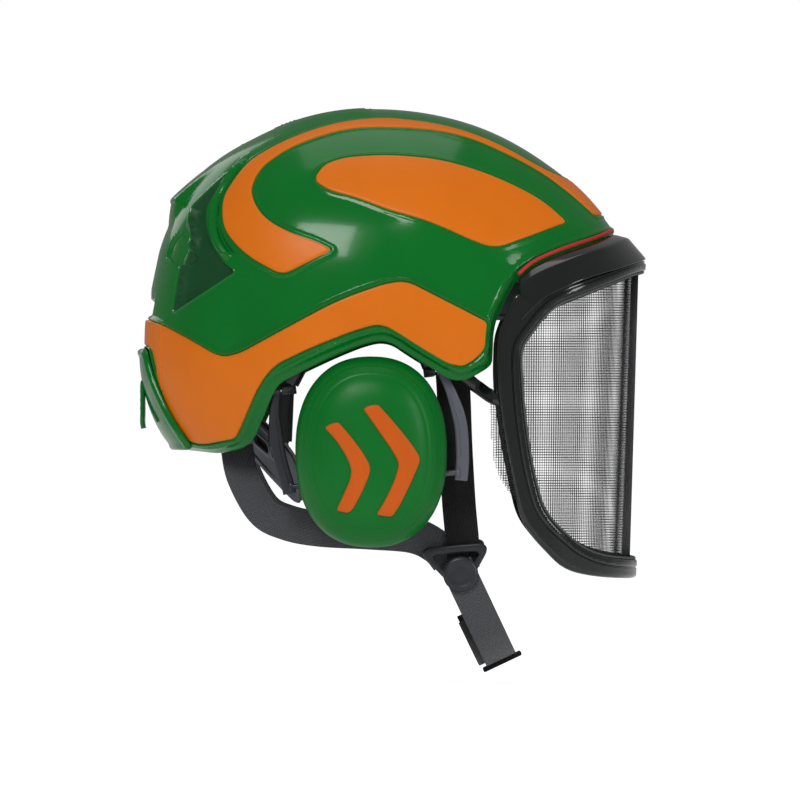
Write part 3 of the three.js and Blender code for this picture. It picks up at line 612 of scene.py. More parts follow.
def grid(us, vs):
    """Triangles over a rectangle of parameters."""
    wide, high = len(us), len(vs)
    params = np.array([(u, v) for u in us for v in vs])
    faces = []
    for i in range(wide - 1):
        for j in range(high - 1):
            a, b = i * high + j, (i + 1) * high + j
            faces += [(a, b, b + 1), (a, b + 1, a + 1)]
    return Patch(params, faces)


# ---------------------------------------------------------------- dome
DOME_CENTRE = np.array([-9.3, 0.0, -20.0])
DOME_STEP = 15
DOME_FRONT = [138.4, 140.2, 144.6, 150.5, 159, 166.2, 164, 166, 170, 174]
DOME_REAR = [138.4, 138.5, 139.7, 143.2, 142.5, 138.3, 138.7, 140.5, 138, 125]
DOME_SIDE = [138.4, 134, 127, 120, 114, 109, 107, 110, 119, 126]
DOME_SQUARE = 0.2


def dome_profile(values, down):
    values = np.asarray(values, dtype=float)
    place = np.minimum(down / DOME_STEP, len(values) - 1.0001)
    i = np.floor(place).astype(int)
    t = place - i

    def at(k):
        return values[np.minimum(np.abs(k), len(values) - 1)]
    a, b, c, d = at(i - 1), at(i), at(i + 1), at(i + 2)
    bend = 2 * a - 5 * b + 4 * c - d + t * (3 * (b - c) + d - a)
    return b + 0.5 * t * (c - a + t * bend)


def dome_radius(d):
    down = np.degrees(np.arccos(np.clip(d[:, 2], -1, 1)))
    flat = np.maximum(np.hypot(d[:, 0], d[:, 1]), 1e-9)
    c, s = np.where(flat < 1e-6, 1.0, d[:, 0] / flat), d[:, 1] / flat
    forward = dome_profile(DOME_FRONT, down)
    rearward = dome_profile(DOME_REAR, down)
    blend = ease(c, -0.25, 0.25)
    lengthwise = forward * blend + rearward * (1 - blend)
    sideways = dome_profile(DOME_SIDE, down)
    power = 2 + DOME_SQUARE * np.sin(np.radians(down)) ** 2
    total = np.abs(c / lengthwise) ** power + np.abs(s / sideways) ** power
    return total ** (-1 / power)


def dome_at(d, offset=0.0):
    return DOME_CENTRE + d * (dome_radius(d) + offset)[:, None]


def dome_normal(d):
    side = unit(np.cross(d, (0.31, 0.17, 0.93)))
    other = np.cross(d, side)
    nudge = 0.004
    along = dome_at(unit(d + nudge * side)) - dome_at(unit(d - nudge * side))
    across = dome_at(unit(d + nudge * other)) - dome_at(unit(d - nudge * other))
    normal = unit(np.cross(along, across))
    return normal * np.sign((normal * d).sum(1))[:, None]


STEEPEST = 0.06  # keeps the slope correction finite where a surface turns edge-on
CROWN_LOW = 40  # openings seen from above are on the dome over this height
FAR_OFF = 99.0


def on_dome(shape, axes=(0, 2)):
    """A field on the dome: the true distance from an outline seen from the side (or
    from the rear or above), allowing for how the surface slopes away."""
    def function(d):
        points, normals = dome_at(d), dome_normal(d)
        distance, away = outline_distance(points[:, axes], shape)
        slope = (away * normals[:, axes]).sum(1)
        return distance / np.sqrt(np.maximum(1 - slope ** 2, STEEPEST))
    return function


def line_on_dome(line, axes=(0, 2)):
    """The same for an open line: (signed distance, distance along)."""
    def function(d):
        points, normals = dome_at(d), dome_normal(d)
        signed, away, along = line_distance(points[:, axes], line)
        slope = (away * normals[:, axes]).sum(1)
        return signed / np.sqrt(np.maximum(1 - slope ** 2, STEEPEST)), along
    return function


def on_crown(shape):
    """A field on the dome: the distance from an outline seen from above."""
    def function(d):
        points = dome_at(d)
        distance, _ = outline_distance(points[:, (0, 1)], shape)
        return np.where(points[:, 2] > CROWN_LOW, distance, FAR_OFF)
    return function


SPHERE_LEVEL = 7
ball = bmesh.new()
bmesh.ops.create_icosphere(ball, subdivisions=SPHERE_LEVEL, radius=1.0)
ball.faces.ensure_lookup_table()
SPHERE_POINTS = unit([v.co[:] for v in ball.verts])
SPHERE_FACES = np.array([[v.index for v in f.verts] for f in ball.faces])
ball.free()
sphere = Patch(SPHERE_POINTS, SPHERE_FACES, sphere=True)

ABOVE = 150
RIM = smooth_outline([
    (-175, -94), (-120, -94.5), (-101.8, -96.7), (-87.2, -92.8), (-80.9, -86.7),
    (-68.8, -57.9), (-64.8, -52.3), (-51.1, -45.1), (-30.8, -35.6), (-14.2, -28.9),
    (-3.5, -26.2), (4.4, -27.5), (18.4, -36.9), (31.2, -44.4), (42.1, -51.1),
    (51.9, -50.4), (64.1, -43.1), (66.9, -40.1), (67.7, -21.8), (69.6, -13.3),
    (81.2, 11.1), (91.1, 18.6), (107.3, 25.5), (126.1, 31.8), (140.3, 38.1), (175, 38.4),
    (175, ABOVE), (-175, ABOVE),
], 6)
SIDE_BAND = smooth_outline([
    (-165, -11), (-144.6, -11.6), (-122, -23), (-104, -33.6), (-97.5, -35.4),
    (-88, -33.2), (-58, -17), (-27.2, -0.6), (0.2, 8.8), (9.5, 10.4), (16, 9.4),
    (33.2, 0.6), (62.8, -14.5), (62.2, -28.6), (57, -36), (47.6, -42), (37.8, -40.3),
    (14.1, -26.2), (2, -18), (-5, -16.5), (-18.1, -20.1), (-44.9, -30.5), (-65.1, -40.3),
    (-71.3, -46.5), (-77, -55.3), (-88.1, -80.5), (-90.6, -85.6), (-114.1, -90),
    (-127.5, -83.3), (-139.7, -48.8), (-144.3, -28.3), (-165, -28),
], 3)
CRESCENT = smooth_outline([
    (118, 72), (97, 80), (74.8, 93.1), (51.3, 103.2), (27.8, 108.8), (4, 111.4),
    (-9.5, 111.1), (-26.5, 109), (-43.4, 104.4), (-63.2, 96.7), (-82.9, 85),
    (-92.2, 73.5), (-98.8, 62.4), (-99.7, 52), (-98.1, 42.2), (-91.9, 33.4),
    (-81.8, 24.3), (-65.2, 15.1), (-59.4, 15), (-32.6, 28.4), (-32, 29.6),
    (-41.4, 34.5), (-55.8, 39.4), (-68, 45.6), (-75.4, 51.9), (-80, 59.9),
    (-81.5, 67), (-78.7, 74.7), (-73.8, 81.8), (-59.6, 92.1), (-43.4, 98.8),
    (-24.3, 104.4), (-6, 105.8), (27.8, 104.5), (51.3, 99.8), (74.8, 89.5),
    (96.7, 77.8), (113.5, 65.3), (129.3, 51.3), (137, 53.2), (142, 60), (132, 70),
], 2)
SIDE_PANEL = smooth_outline([
    (-42.5, 74.3), (-37.2, 81.9), (-25.1, 86.2), (0.4, 88.2), (31.2, 85.6),
    (52.6, 80.1), (75.1, 71.5), (97, 60), (111.6, 46.6), (66.5, 29.3), (52.3, 34.2),
    (31.2, 43.9), (9.3, 51.3), (0.2, 54.3), (-18.1, 61.4), (-33.3, 65.3), (-42, 70.8),
], 3)
CREASE = smooth_path([(0.2, 52.6), (9.3, 49.0), (33.7, 38.6), (58.1, 28.3), (81.9, 16.7)], 24)
REAR_BEAD = smooth_path([
    (-80, 92), (-87.8, 84.6), (-97.0, 70.7), (-103.1, 59.5), (-104.6, 48.5), (-104.3, 41.2),
    (-100.3, 31.2), (-94.0, 23.9),
], 30)
RECESS = smooth_outline([
    (-96, 78), (-105.9, 69.1), (-119.3, 56.2), (-121.2, 47.0), (-118.1, 38.5),
    (-121.2, 28.7), (-125.5, 18.9), (-127.9, 5.4), (-129.8, -8.1), (-110.1, 4.2),
    (-91.2, 16.4), (-99, 22), (-106.4, 33.2), (-109.5, 44.6), (-109.5, 55.6),
    (-105.6, 63.4), (-99, 71),
], 2)
ARROW = smooth_outline([
    (-126.0, 42.6), (-122.3, 37.0), (-119.2, 26.6), (-122.3, 22.9), (-126.6, 19.2),
    (-130.9, 22.9), (-134.6, 26.6), (-131.5, 35.8),
], 0.6)
UPPER_BLOCK = smooth_outline([
    (-114.3, 69.0), (-120.5, 57.3), (-121.7, 49.3), (-118.6, 38.9), (-123.5, 42.6),
    (-126.0, 46), (-128.5, 38.9), (-129.7, 36.4), (-128.5, 47.5), (-130.9, 57.3), (-122.3, 64.7),
], 0.6)
LOWER_BLOCKS = [
    smooth_outline([
        (-136.5, 22.9), (-131.5, 24.1), (-127.9, 21.6), (-130.9, 18.0), (-132.2, 7.5),
        (-137.1, 8.1),
    ], 0.6),
    smooth_outline([(-136.5, 3.8), (-129.7, 2.6), (-131.5, -11), (-137.1, -8.1)], 0.6),
]
CREASE_STEPS = [(-48, 0), (-32, -0.7), (-15, -0.5), (-0.3, 1.5), (0.3, 1.6), (9, 1.3), (28, 0)]
BEAD_STEPS = [
    (-3.4, 0), (-2.6, 1.8), (-1.2, 2.9), (0.3, 2.9), (1.6, 1.2), (2.5, -1.3), (3.4, -1.7),
    (4.4, -1.2), (5.0, 0),
]
RECESS_STEPS = [(-10, -7.0), (-3.5, -5.6), (-1.2, -3.8), (0.0, -0.2), (0.6, 0.5), (1.6, 0)]
SPINE_STEPS = [
    (-14, 0), (-9, -3.0), (-1, -3.4), (-0.2, -2.2), (0.6, -1.0), (6, 0), (30, 0), (40, -0.6),
    (46, -1.0), (57, 3.6), (58.4, 5.2), (60, 5.4), (67, 3.4), (72.5, 2.0), (80, 0.4), (86, 0),
]
CREASE_CUTS = (-0.3, 0.3, -4, 3)
SPINE_CUTS = (-1, -0.2, 0.6, 57, 58.4, 60)
ARROW_CUTS = (-1.0, 0.0, 0.5)
BLOCK_CUTS = (-0.6, 0.0, 0.3)
crease_at = line_on_dome(CREASE)
bead_at = line_on_dome(REAR_BEAD)
CREASE_LENGTH = np.linalg.norm(np.diff(CREASE, axis=0), axis=1).sum()
BEAD_LENGTH = np.linalg.norm(np.diff(REAR_BEAD, axis=0), axis=1).sum()


def crease_height(d):
    signed, along = crease_at(d)
    fade = ease(along, 0, 26) * (1 - 0.5 * ease(along, CREASE_LENGTH - 12, CREASE_LENGTH))
    side = ease(np.abs(dome_at(d)[:, 1]), 25, 45)
    return profile(signed, CREASE_STEPS) * fade * side


def spine_height(d):
    points = dome_at(d)
    rear = ease(-points[:, 0], 84, 100)
    width = 1 - ease(np.abs(points[:, 1]), 26, 31)
    return profile(points[:, 2], SPINE_STEPS) * rear * width


EDGE_STEPS = [
    (-1.8, -0.8), (-0.2, -0.8), (0.1, 0.0), (0.5, 0.5), (1.2, 0.85), (2.1, 0.6), (3.0, 0.1),
    (3.6, 0.0),
]
LIP_STEPS = [
    (0, -2.5), (0.5, -2.2), (1.4, -1.8), (3.6, -1.0), (5.0, 0.1), (6.0, 0.9), (7.2, 1.0),
    (8.2, 0.4), (9.2, 0.0),
]
SLOT = smooth_outline([(-10, -12), (-87, -12), (-87, 12), (-10, 12)], 3)
SLOT_STEPS = [(-0.4, -1.6), (0.0, -0.3), (0.5, 0.0), (1.2, 0.25), (2.4, 0.0)]


def shell_patch():
    patch = sphere.copy()
    patch.measure("rim", on_dome(RIM))
    patch.clip("rim")
    patch.measure("band", on_dome(SIDE_BAND))
    patch.measure("crescent", on_dome(CRESCENT))
    patch.measure("panel", on_dome(SIDE_PANEL))
    patch.measure("crease", lambda d: crease_at(d)[0])
    patch.measure("bead", lambda d: bead_at(d)[0])
    patch.measure("recess", on_dome(RECESS))
    patch.measure("arrow", on_dome(ARROW))
    patch.measure("upper", on_dome(UPPER_BLOCK))
    for i, block in enumerate(LOWER_BLOCKS):
        patch.measure(f"lower{i}", on_dome(block))
    patch.measure("slot", on_crown(SLOT))
    patch.measure("height", lambda d: dome_at(d)[:, 2])
    patch.split("rim", *depths_of(LIP_STEPS[1:]))
    for name in ("band", "crescent", "panel"):
        patch.split(name, *places_of(EDGE_STEPS[1:]))
    patch.split("crease", *CREASE_CUTS)
    patch.split("bead", *places_of(BEAD_STEPS))
    patch.split("recess", *places_of(RECESS_STEPS[1:]))
    patch.split("arrow", *ARROW_CUTS)
    patch.split("upper", *BLOCK_CUTS)
    for i in range(len(LOWER_BLOCKS)):
        patch.split(f"lower{i}", *BLOCK_CUTS)
    patch.split("slot", *places_of(SLOT_STEPS))
    patch.split("height", *SPINE_CUTS)
    return patch


def shell_height(patch):
    d, values = patch.params, patch.values
    points = dome_at(d)
    bead_along = bead_at(d)[1]
    bead_fade = ease(bead_along, 2, 22) * (1 - ease(bead_along, BEAD_LENGTH - 4, BEAD_LENGTH))
    bead_side = ease(np.abs(points[:, 1]), 20, 30)
    edges = np.zeros(len(d))
    for name, strength in (("band", 1.6), ("crescent", 0.8), ("panel", 0.6)):
        raised = profile(values[name], EDGE_STEPS)
        edges = np.where(raised < 0, raised, np.maximum(edges, strength * raised))
    lip = profile(-values["rim"], LIP_STEPS)
    edges = np.where(lip < 0, edges * 0.4 + lip, np.maximum(edges, lip))
    recess = profile(values["recess"], RECESS_STEPS)
    away = 1 - ease(np.abs(points[:, 1]), 88, 100)
    recess = recess * away
    blocks = np.minimum(values["upper"], np.minimum(values["lower0"], values["lower1"]))
    lift = 1 - ease(blocks, BLOCK_CUTS[0], BLOCK_CUTS[-1])
    hole = 1 - ease(values["arrow"], ARROW_CUTS[0], ARROW_CUTS[-1])
    low = np.where(recess < 0, recess * (1 - lift), recess)
    low = low - 1.8 * hole
    height = edges + low + spine_height(d) * (1 - hole) + crease_height(d)
    height += profile(values["bead"], BEAD_STEPS) * bead_fade * bead_side
    slot = profile(values["slot"], SLOT_STEPS)
    step = 0.9 * (1 - ease(points[:, 0], -11, -8.6)) * (1 - ease(np.abs(points[:, 1]), 13, 30))
    step *= ease(points[:, 0], -100, -40)
    return height + slot + step


shell = shell_patch()
shell_top = shell_height(shell)
shell_floor = np.minimum(-3.1, shell_top - 0.6)
shell_piece = add(
    "shell", *plate(shell, dome_at, shell_top, shell_floor), GREEN, "helmet", ["outer_shell"]
)
# Second material of the shell: satin finish whose darker colour is painted shade in the recess.
shell_piece.data.materials.append(SATIN_WITH_PAINTED_SHADE)


def satin_faces(patch):
    """Which top faces lie down in the recess, away from the blocks that cross it. These take the
    darker satin green, whose darker colour is painted shade of the recess.
    """
    names = ["upper", *[f"lower{i}" for i in range(len(LOWER_BLOCKS))]]
    blocks = np.min([patch.values[name] for name in names], axis=0)
    deep = (patch.values["recess"] < 0.01) & (blocks > -0.01)
    deep &= np.abs(dome_at(patch.params)[:, 1]) < 96
    return deep[patch.faces].all(1)


# Faces down in the recess take the darker satin green: painted shade.
in_recess_shade = np.zeros(len(shell_piece.data.polygons), dtype=np.int32)
in_recess_shade[:len(shell.faces)] = satin_faces(shell)
shell_piece.data.polygons.foreach_set("material_index", in_recess_shade)


# ---------------------------------------------------------------- colour inserts
GROOVE_STEPS = [
    (-150, 0), (-143.6, 0), (-143.2, -0.8), (-139.9, -0.8), (-139.5, 0), (-136.9, 0),
    (-136.7, -0.6), (-136.1, -0.6), (-135.9, 0),
]
CROWN_EDGE = [(0.3, 0.1), (0.55, 0.6), (0.95, 0.85), (1.6, 0.95)]


def insert(outline, gap=0.3, grooves=False):
    patch = sphere.copy()
    patch.measure("side", lambda d: dome_at(d)[:, 1] + 0.3)
    patch.clip("side")
    patch.measure("outline", on_dome(outline))
    patch.clip("outline", -gap)
    patch.split("outline", *depths_of(CROWN_EDGE[1:]))
    if grooves:
        patch.measure("length", lambda d: dome_at(d)[:, 0])
        patch.split("length", *places_of(GROOVE_STEPS[1:]))
    top = profile(-patch.values["outline"], CROWN_EDGE) + crease_height(patch.params)
    if grooves:
        top = top + profile(patch.values["length"], GROOVE_STEPS)
    return plate(patch, dome_at, top, np.full(len(top), -0.7) + crease_height(patch.params))


add_pair("band", insert(SIDE_BAND, grooves=True), ORANGE, "helmet", ["side_band_{}"])
add_pair("crescent_inlay", insert(CRESCENT), ORANGE, "helmet", ["crescent_{}"])
add_pair("panel", insert(SIDE_PANEL), ORANGE, "helmet", ["side_panel_{}"])


# ---------------------------------------------------------------- rear bracket and clip
BRACKET = smooth_outline([
    (-27, -30), (27, -30), (33, -36), (44, -60), (49, -82), (47, -91), (-47, -91),
    (-49, -82), (-44, -60), (-33, -36),
], 5)


def rear_bracket():
    patch = sphere.copy()
    patch.measure("back", lambda d: dome_at(d)[:, 0] + 60)
    patch.clip("back")
    patch.measure("outline", on_dome(BRACKET, (1, 2)))
    patch.clip("outline")
    edge = [(0, 3.0), (0.5, 4.3), (1.4, 5.2), (3.0, 5.2), (4.4, 4.5), (6.0, 4.2), (20, 4.2)]
    patch.split("outline", *depths_of(edge[1:-1]))
    top = profile(-patch.values["outline"], edge)
    return plate(patch, dome_at, top, np.full(len(top), 2.0))


add("bracket", *rear_bracket(), GREEN, "helmet", ["rear_bracket"])


def clip_tongue():
    """A flat tongue with rounded edges and a lip at its foot, standing on one bridge."""
    path = smooth_path([
        (-145.4, 0, -49.4), (-148.3, 0, -49.8), (-150.0, 0, -51.5), (-150.1, 0, -60),
        (-150.1, 0, -70), (-150.2, 0, -76), (-149.6, 0, -79.6),
    ], 40)

    def section(t):
        """The tongue narrows over its last fifth."""
        return rounded_box(22 - 3.5 * max(t - 0.8, 0) / 0.2, 2.7, 1.0)

    tongue = sweep(path, (0, 1, 0), section)
    ribs = [
        sweep([(-151.2, -7.5, z), (-151.2, 0, z), (-151.2, 7.5, z)], (0, 0, 1),
              rounded_box(1.4, 0.9, 0.4))
        for z in (-57, -62, -67)
    ]
    return joined(tongue, *ribs)


add("clip", *clip_tongue(), GREEN, "helmet", ["strap_clip"])


# ---------------------------------------------------------------- vent slider
def vent_slider():
    patch = sphere.copy()
    outline = smooth_outline([(-12, -11.2), (-69, -11.2), (-69, 11.2), (-12, 11.2)], 3)
    patch.measure("outline", on_crown(outline))
    patch.clip("outline")
    patch.measure("length", lambda d: dome_at(d)[:, 0])
    edge = [(0, -0.4), (0.3, 0.3), (0.8, 0.6), (1.5, 0.7)]
    ribs = [-56 - 2.5 * i for i in range(4)]
    patch.split("outline", *depths_of(edge[1:]))
    patch.split("length", *[place + shift for place in ribs for shift in (-0.7, 0.0, 0.7)])
    top = profile(-patch.values["outline"], edge)
    middle = ease(-patch.values["outline"], 2, 4)
    for place in ribs:
        away = np.abs(patch.values["length"] - place)
        top = top + 0.5 * (1 - ease(away, 0, 0.7)) * middle
    return plate(patch, dome_at, top, np.full(len(top), -1.1))


add("slider", *vent_slider(), GREEN, "vent", ["vent_slider"])


# ---------------------------------------------------------------- lining of the shell
LINER_OUTLINE = smooth_outline([
    (-175, -40), (-104, -40), (-80, -6), (60, -6), (86, 24), (104, 32), (124, 39),
    (150, 46), (175, 46), (175, ABOVE), (-175, ABOVE),
], 8)
LINER_SIDE = 83
LINER_GAP = 4.6  # from the dome's face to the lining
REAR_ROOM = 5.0  # more behind, where the shell is recessed
CAVITY_X = -8
CAVITY = np.array([114, 79.5, 96])


def cavity_radius(d):
    """How far the lining's inner face is from DOME_CENTRE in each direction."""
    start = (DOME_CENTRE - (CAVITY_X, 0, 0)) / CAVITY
    step = d / CAVITY
    a, b, c = (step ** 2).sum(1), (step * start).sum(1), (start ** 2).sum() - 1
    return (np.sqrt(b * b - a * c) - b) / a


def liner():
    patch = sphere.copy()
    patch.measure("outline", on_dome(LINER_OUTLINE))
    patch.clip("outline")

    def outside(d):
        rear_room = REAR_ROOM * ease(-dome_at(d)[:, 0], 78, 90)
        side = LINER_SIDE / np.maximum(np.abs(d[:, 1]), 0.05)
        return np.minimum(dome_radius(d) - LINER_GAP - rear_room, side)

    patch.measure("thin", lambda d: cavity_radius(d) - outside(d) + 2.5)
    patch.clip("thin")
    d = patch.params
    radius = dome_radius(d)
    inner = cavity_radius(d)
    groove = 1 - ease(np.abs(np.sin(3 * np.arctan2(d[:, 1], d[:, 0]))), 0.06, 0.2)
    deep = groove * ease(np.hypot(d[:, 0], d[:, 1]), 0.3, 0.5) * 3
    deep = np.minimum(deep, np.maximum(outside(d) - inner - 1.5, 0))
    return plate(patch, dome_at, outside(d) - radius, inner + deep - radius)


add("lining", *liner(), FOAM, "helmet", ["liner"])


# ---------------------------------------------------------------- padded pieces
def soften(piece, pressure=4.0, voxel=4.5, limit=2.0):
    """Remeshes a padded piece, runs a short cloth simulation with pressure inside it and
    keeps the result. Stiff rings such as the ear cushions hardly move."""
    bpy.context.view_layer.objects.active = piece
    piece.data.remesh_voxel_size = voxel * MM
    remesh = piece.modifiers.new("even", "REMESH")
    remesh.mode = "VOXEL"
    remesh.voxel_size = voxel * MM
    remesh.use_smooth_shade = True
    apply_modifier(piece, remesh)
    before = vertices_of(piece)
    cloth = piece.modifiers.new("cloth", "CLOTH")
    cloth.settings.quality = 6
    cloth.settings.mass = 0.2
    cloth.settings.tension_stiffness = 25
    cloth.settings.compression_stiffness = 25
    cloth.settings.bending_stiffness = 1.0
    cloth.settings.use_pressure = True
    cloth.settings.uniform_pressure_force = pressure
    cloth.settings.effector_weights.gravity = 0
    cloth.point_cache.frame_start = 1
    cloth.point_cache.frame_end = 20
    for step in range(1, 21):
        bpy.context.scene.frame_set(step)
    apply_modifier(piece, cloth)
    bpy.context.scene.frame_set(1)
    moved = vertices_of(piece) - before
    far = np.linalg.norm(moved, axis=1, keepdims=True)
    moved *= np.minimum(1, limit * MM / np.maximum(far, 1e-9))
    piece.data.vertices.foreach_set("co", (before + moved).ravel())
    smooth = piece.modifiers.new("smooth", "SUBSURF")
    smooth.levels = 1
    smooth.render_levels = 1
    apply_modifier(piece, smooth)
    piece.data.polygons.foreach_set("use_smooth", [True] * len(piece.data.polygons))


def vertices_of(piece):
    values = np.zeros(len(piece.data.vertices) * 3)
    piece.data.vertices.foreach_get("co", values)
    return values.reshape(-1, 3)


def apply_modifier(piece, modifier):
    bpy.context.view_layer.objects.active = piece
    with bpy.context.temp_override(object=piece, active_object=piece):
        bpy.ops.object.modifier_apply(modifier=modifier.name)


def pillow(half, thick, puff):
    """Turned profile of a flat round pad that is widest half way up."""
    return [
        (0, 0.5), (0.0, half * 0.55), (thick * 0.1, half * 0.85), (thick * 0.35, half - 1),
        (thick * 0.5, half - puff), (thick * 0.65, half - 1), (thick * 0.9, half * 0.85),
        (thick, half * 0.55), (thick, 0.5),
    ]


def crown_pad():
    points, faces = turned(pillow(46, 7, 0.2), (-6, 0, 74), (0, 0, 1), 64)
    lift = 6 * (np.hypot(points[:, 0] + 6, points[:, 1]) / 46) ** 2
    points[:, 1] *= 0.62
    points[:, 2] += 3.5 - lift
    return points, faces


soften(add("crown_padding", *crown_pad(), PADDING, "helmet", ["crown_pad"]))


def arc(half_x, half_y, z, reach, count):
    angles = np.radians(np.linspace(-reach, reach, count))
    flat = np.full(count, z)
    return np.stack([half_x * np.cos(angles), half_y * np.sin(angles), flat], 1)


def headband():
    path = arc(99, 75.4, 0.5, 138, 120)
    band = sweep(path, (0, 0, 1), rounded_box(25, 2, 0.8))
    beads = [
        sweep(path + (0, 0, z), (0, 0, 1), rounded_box(2.4, 3.2, 1.0)) for z in (-11, 11)
    ]
    return joined(band, *beads)


add("head_band", *headband(), DARK, "helmet", ["headband"])
sweat_path = arc(94.6, 71, 3, 61, 60)
sweat = sweep(sweat_path, (0, 0, 1), rounded_box(25, 4.4, 2.1, 4))
soften(add("sweat_band", *sweat, PADDING, "helmet", ["sweatband"]), limit=1.0)


# ---------------------------------------------------------------- nape fitting
NAPE_X, NAPE_REACH, NAPE_HALF, NAPE_HIGH, NAPE_DROP = -45.6, 46, 63, -76, 42


def nape_at(degrees, inward, rise=0.0):
    angle = np.radians(degrees)
    c = np.cos(angle)
    x = NAPE_X - (NAPE_REACH - inward) * c - 0.1 * rise
    y = (NAPE_HALF - inward) * np.sin(angle)
    return np.stack([x, y, NAPE_HIGH - NAPE_DROP * (1 - c) + rise], -1)


NAPE_OUTLINE = smooth_outline([
    (-80, -15), (-74, -18), (-50, -17), (-24, -14), (24, -14), (50, -17), (74, -18),
    (80, -15), (82, 0), (79, 12), (66, 15), (24, 14), (-24, 14), (-66, 15), (-79, 12), (-82, 0),
], 6)
NAPE_SLOTS = [
    smooth_outline([(a, low), (b, low + tilt), (b, high + tilt), (a, high)], 2.5)
    for a, b, low, high, tilt in (
        (58, 70, -1.0, 4.5, 1.0), (-70, -58, 0.0, 5.5, -1.0),
        (38, 54, -2.5, 3.0, 1.0), (-54, -38, -1.5, 4.0, -1.0),
    )
]


def nape_holes(p):
    return np.max([-outline_distance(p, slot)[0] for slot in NAPE_SLOTS], axis=0)


def nape_cradle():
    patch = grid(np.linspace(-84, 84, 180), np.linspace(-19, 16, 40))
    patch.measure("outline", lambda p: outline_distance(p, NAPE_OUTLINE)[0])
    patch.clip("outline")
    patch.measure("holes", nape_holes)
    patch.clip("holes")
    edge = [(0, -0.7), (0.6, 0.1), (1.6, 0.35), (3.4, 0.3), (4.6, -0.5), (8, -0.5)]
    rim = [(0, -0.5), (0.5, 0.5), (1.4, 0.7), (3.0, 0)]
    patch.split("outline", *depths_of(edge[1:-1]))
    patch.split("holes", *depths_of(rim[1:-1]))
    top = profile(-patch.values["outline"], edge) + profile(-patch.values["holes"], rim)

    def place(params, out):
        return nape_at(params[:, 0], 1.5 - out, params[:, 1])
    points, faces = plate(patch, place, top, np.full(len(top), -3.0))
    return points, outward(points, faces)


add("cradle", *nape_cradle(), GREY, "nape", ["nape_cradle"], sharp=35)
nape_path = nape_at(np.linspace(-55, 55, 60), 6.4)
nape_padding = sweep(nape_path, (-0.1, 0, 1), rounded_box(20, 4.4, 2.1, 4))
soften(add("nape_padding", *nape_padding, PADDING, "nape", ["nape_pad"]), limit=0.8)

HOUSING = [
    (0, 0.5), (0, 15.4), (0.6, 16.2), (1.4, 16.4), (4, 16.4), (4.4, 15.8), (5.2, 15.8),
    (5.6, 16.6), (9, 16.8), (11.2, 15.6), (12.1, 14.8), (12.1, 0.5),
]
KNOB = [
    (0, 0.5), (0, 5), (0.7, 6), (0.7, 8.6), (0, 9.4), (0, 11.3), (0.5, 12.3), (1.3, 12.9),
    (8.2, 13.5), (9.0, 13.1), (9.2, 12.2), (9.2, 0.5),
]
housing = turned(HOUSING, (-107.3, 0, NAPE_HIGH), (1, 0, 0), 64)
add("housing", *housing, DARK, "nape", ["ratchet_housing"], sharp=30)


def size_knob():
    points, faces = turned(KNOB, (-117.2, 0, NAPE_HIGH), (1, 0, 0), 180)
    y, z = points[:, 1], points[:, 2] - NAPE_HIGH
    radius = np.hypot(y, z)
    ridges = 0.7 * np.abs(np.sin(9 * np.arctan2(z, y))) ** 0.6 - 0.7
    scale = 1 + ridges * ease(radius, 11.5, 12.6) / np.maximum(radius, 1)
    points[:, 1] = y * scale
    points[:, 2] = NAPE_HIGH + z * scale
    return points, faces


add("knob", *size_knob(), DARK, "knob", ["size_knob"], sharp=35)
arm_path = smooth_path([(-61.5, -65.6, -4), (-63, -65.6, -40), (-65, -65.6, -88)], 40)
cradle_arm = sweep(arm_path, (1, 0, 0), rounded_box(13, 2.2, 0.8))
add_pair("cradle_arm", cradle_arm, DARK, "helmet", ["cradle_arm_{}"])


# ---------------------------------------------------------------- visor
VISOR_HINGE_X = 9.3
VISOR_X, VISOR_REACH, VISOR_HALF, VISOR_POWER = 66, 95.5, 104, 2.35
VISOR_LEAN, VISOR_TOP, VISOR_BACK = 0.03, 25, 50
visor_angles = np.linspace(-math.pi / 2, math.pi / 2, 721)
visor_curve = np.stack([
    VISOR_X + VISOR_REACH * np.abs(np.cos(visor_angles)) ** (2 / VISOR_POWER),
    VISOR_HALF * np.abs(np.sin(visor_angles)) ** (2 / VISOR_POWER) * np.sign(visor_angles),
], 1)
visor_curve[0, 0] = visor_curve[-1, 0] = VISOR_X
visor_curve = np.vstack([
    [(VISOR_BACK, -VISOR_HALF)], visor_curve, [(VISOR_BACK, VISOR_HALF)],
])
visor_run = np.concatenate([
    [0], np.cumsum(np.linalg.norm(np.diff(visor_curve, axis=0), axis=1)),
])
visor_run -= visor_run[-1] / 2
visor_along = unit(np.gradient(visor_curve, visor_run, axis=0))
VISOR_SPAN = 2 * visor_run[-1]


def visor_at(params, out):
    """Points of the visor's wall. params is (distance round the wall, height)."""
    x = np.interp(params[:, 0], visor_run, visor_curve[:, 0])
    y = np.interp(params[:, 0], visor_run, visor_curve[:, 1])
    nx = np.interp(params[:, 0], visor_run, visor_along[:, 1])
    ny = -np.interp(params[:, 0], visor_run, visor_along[:, 0])
    z = params[:, 1]
    lean = 1 + VISOR_LEAN * (z - VISOR_TOP) / VISOR_REACH
    x = np.where(x > VISOR_X, VISOR_X + (x - VISOR_X) * lean, x)
    return np.stack([x + nx * out, y + ny * out, z], 1)


def on_visor(outline):
    def function(params):
        points = visor_at(params, 0.0)
        nx = np.interp(params[:, 0], visor_run, visor_along[:, 1])
        distance, away = outline_distance(points[:, (0, 2)], outline)
        return distance / np.sqrt(np.maximum(1 - (away[:, 0] * nx) ** 2, STEEPEST))
    return function


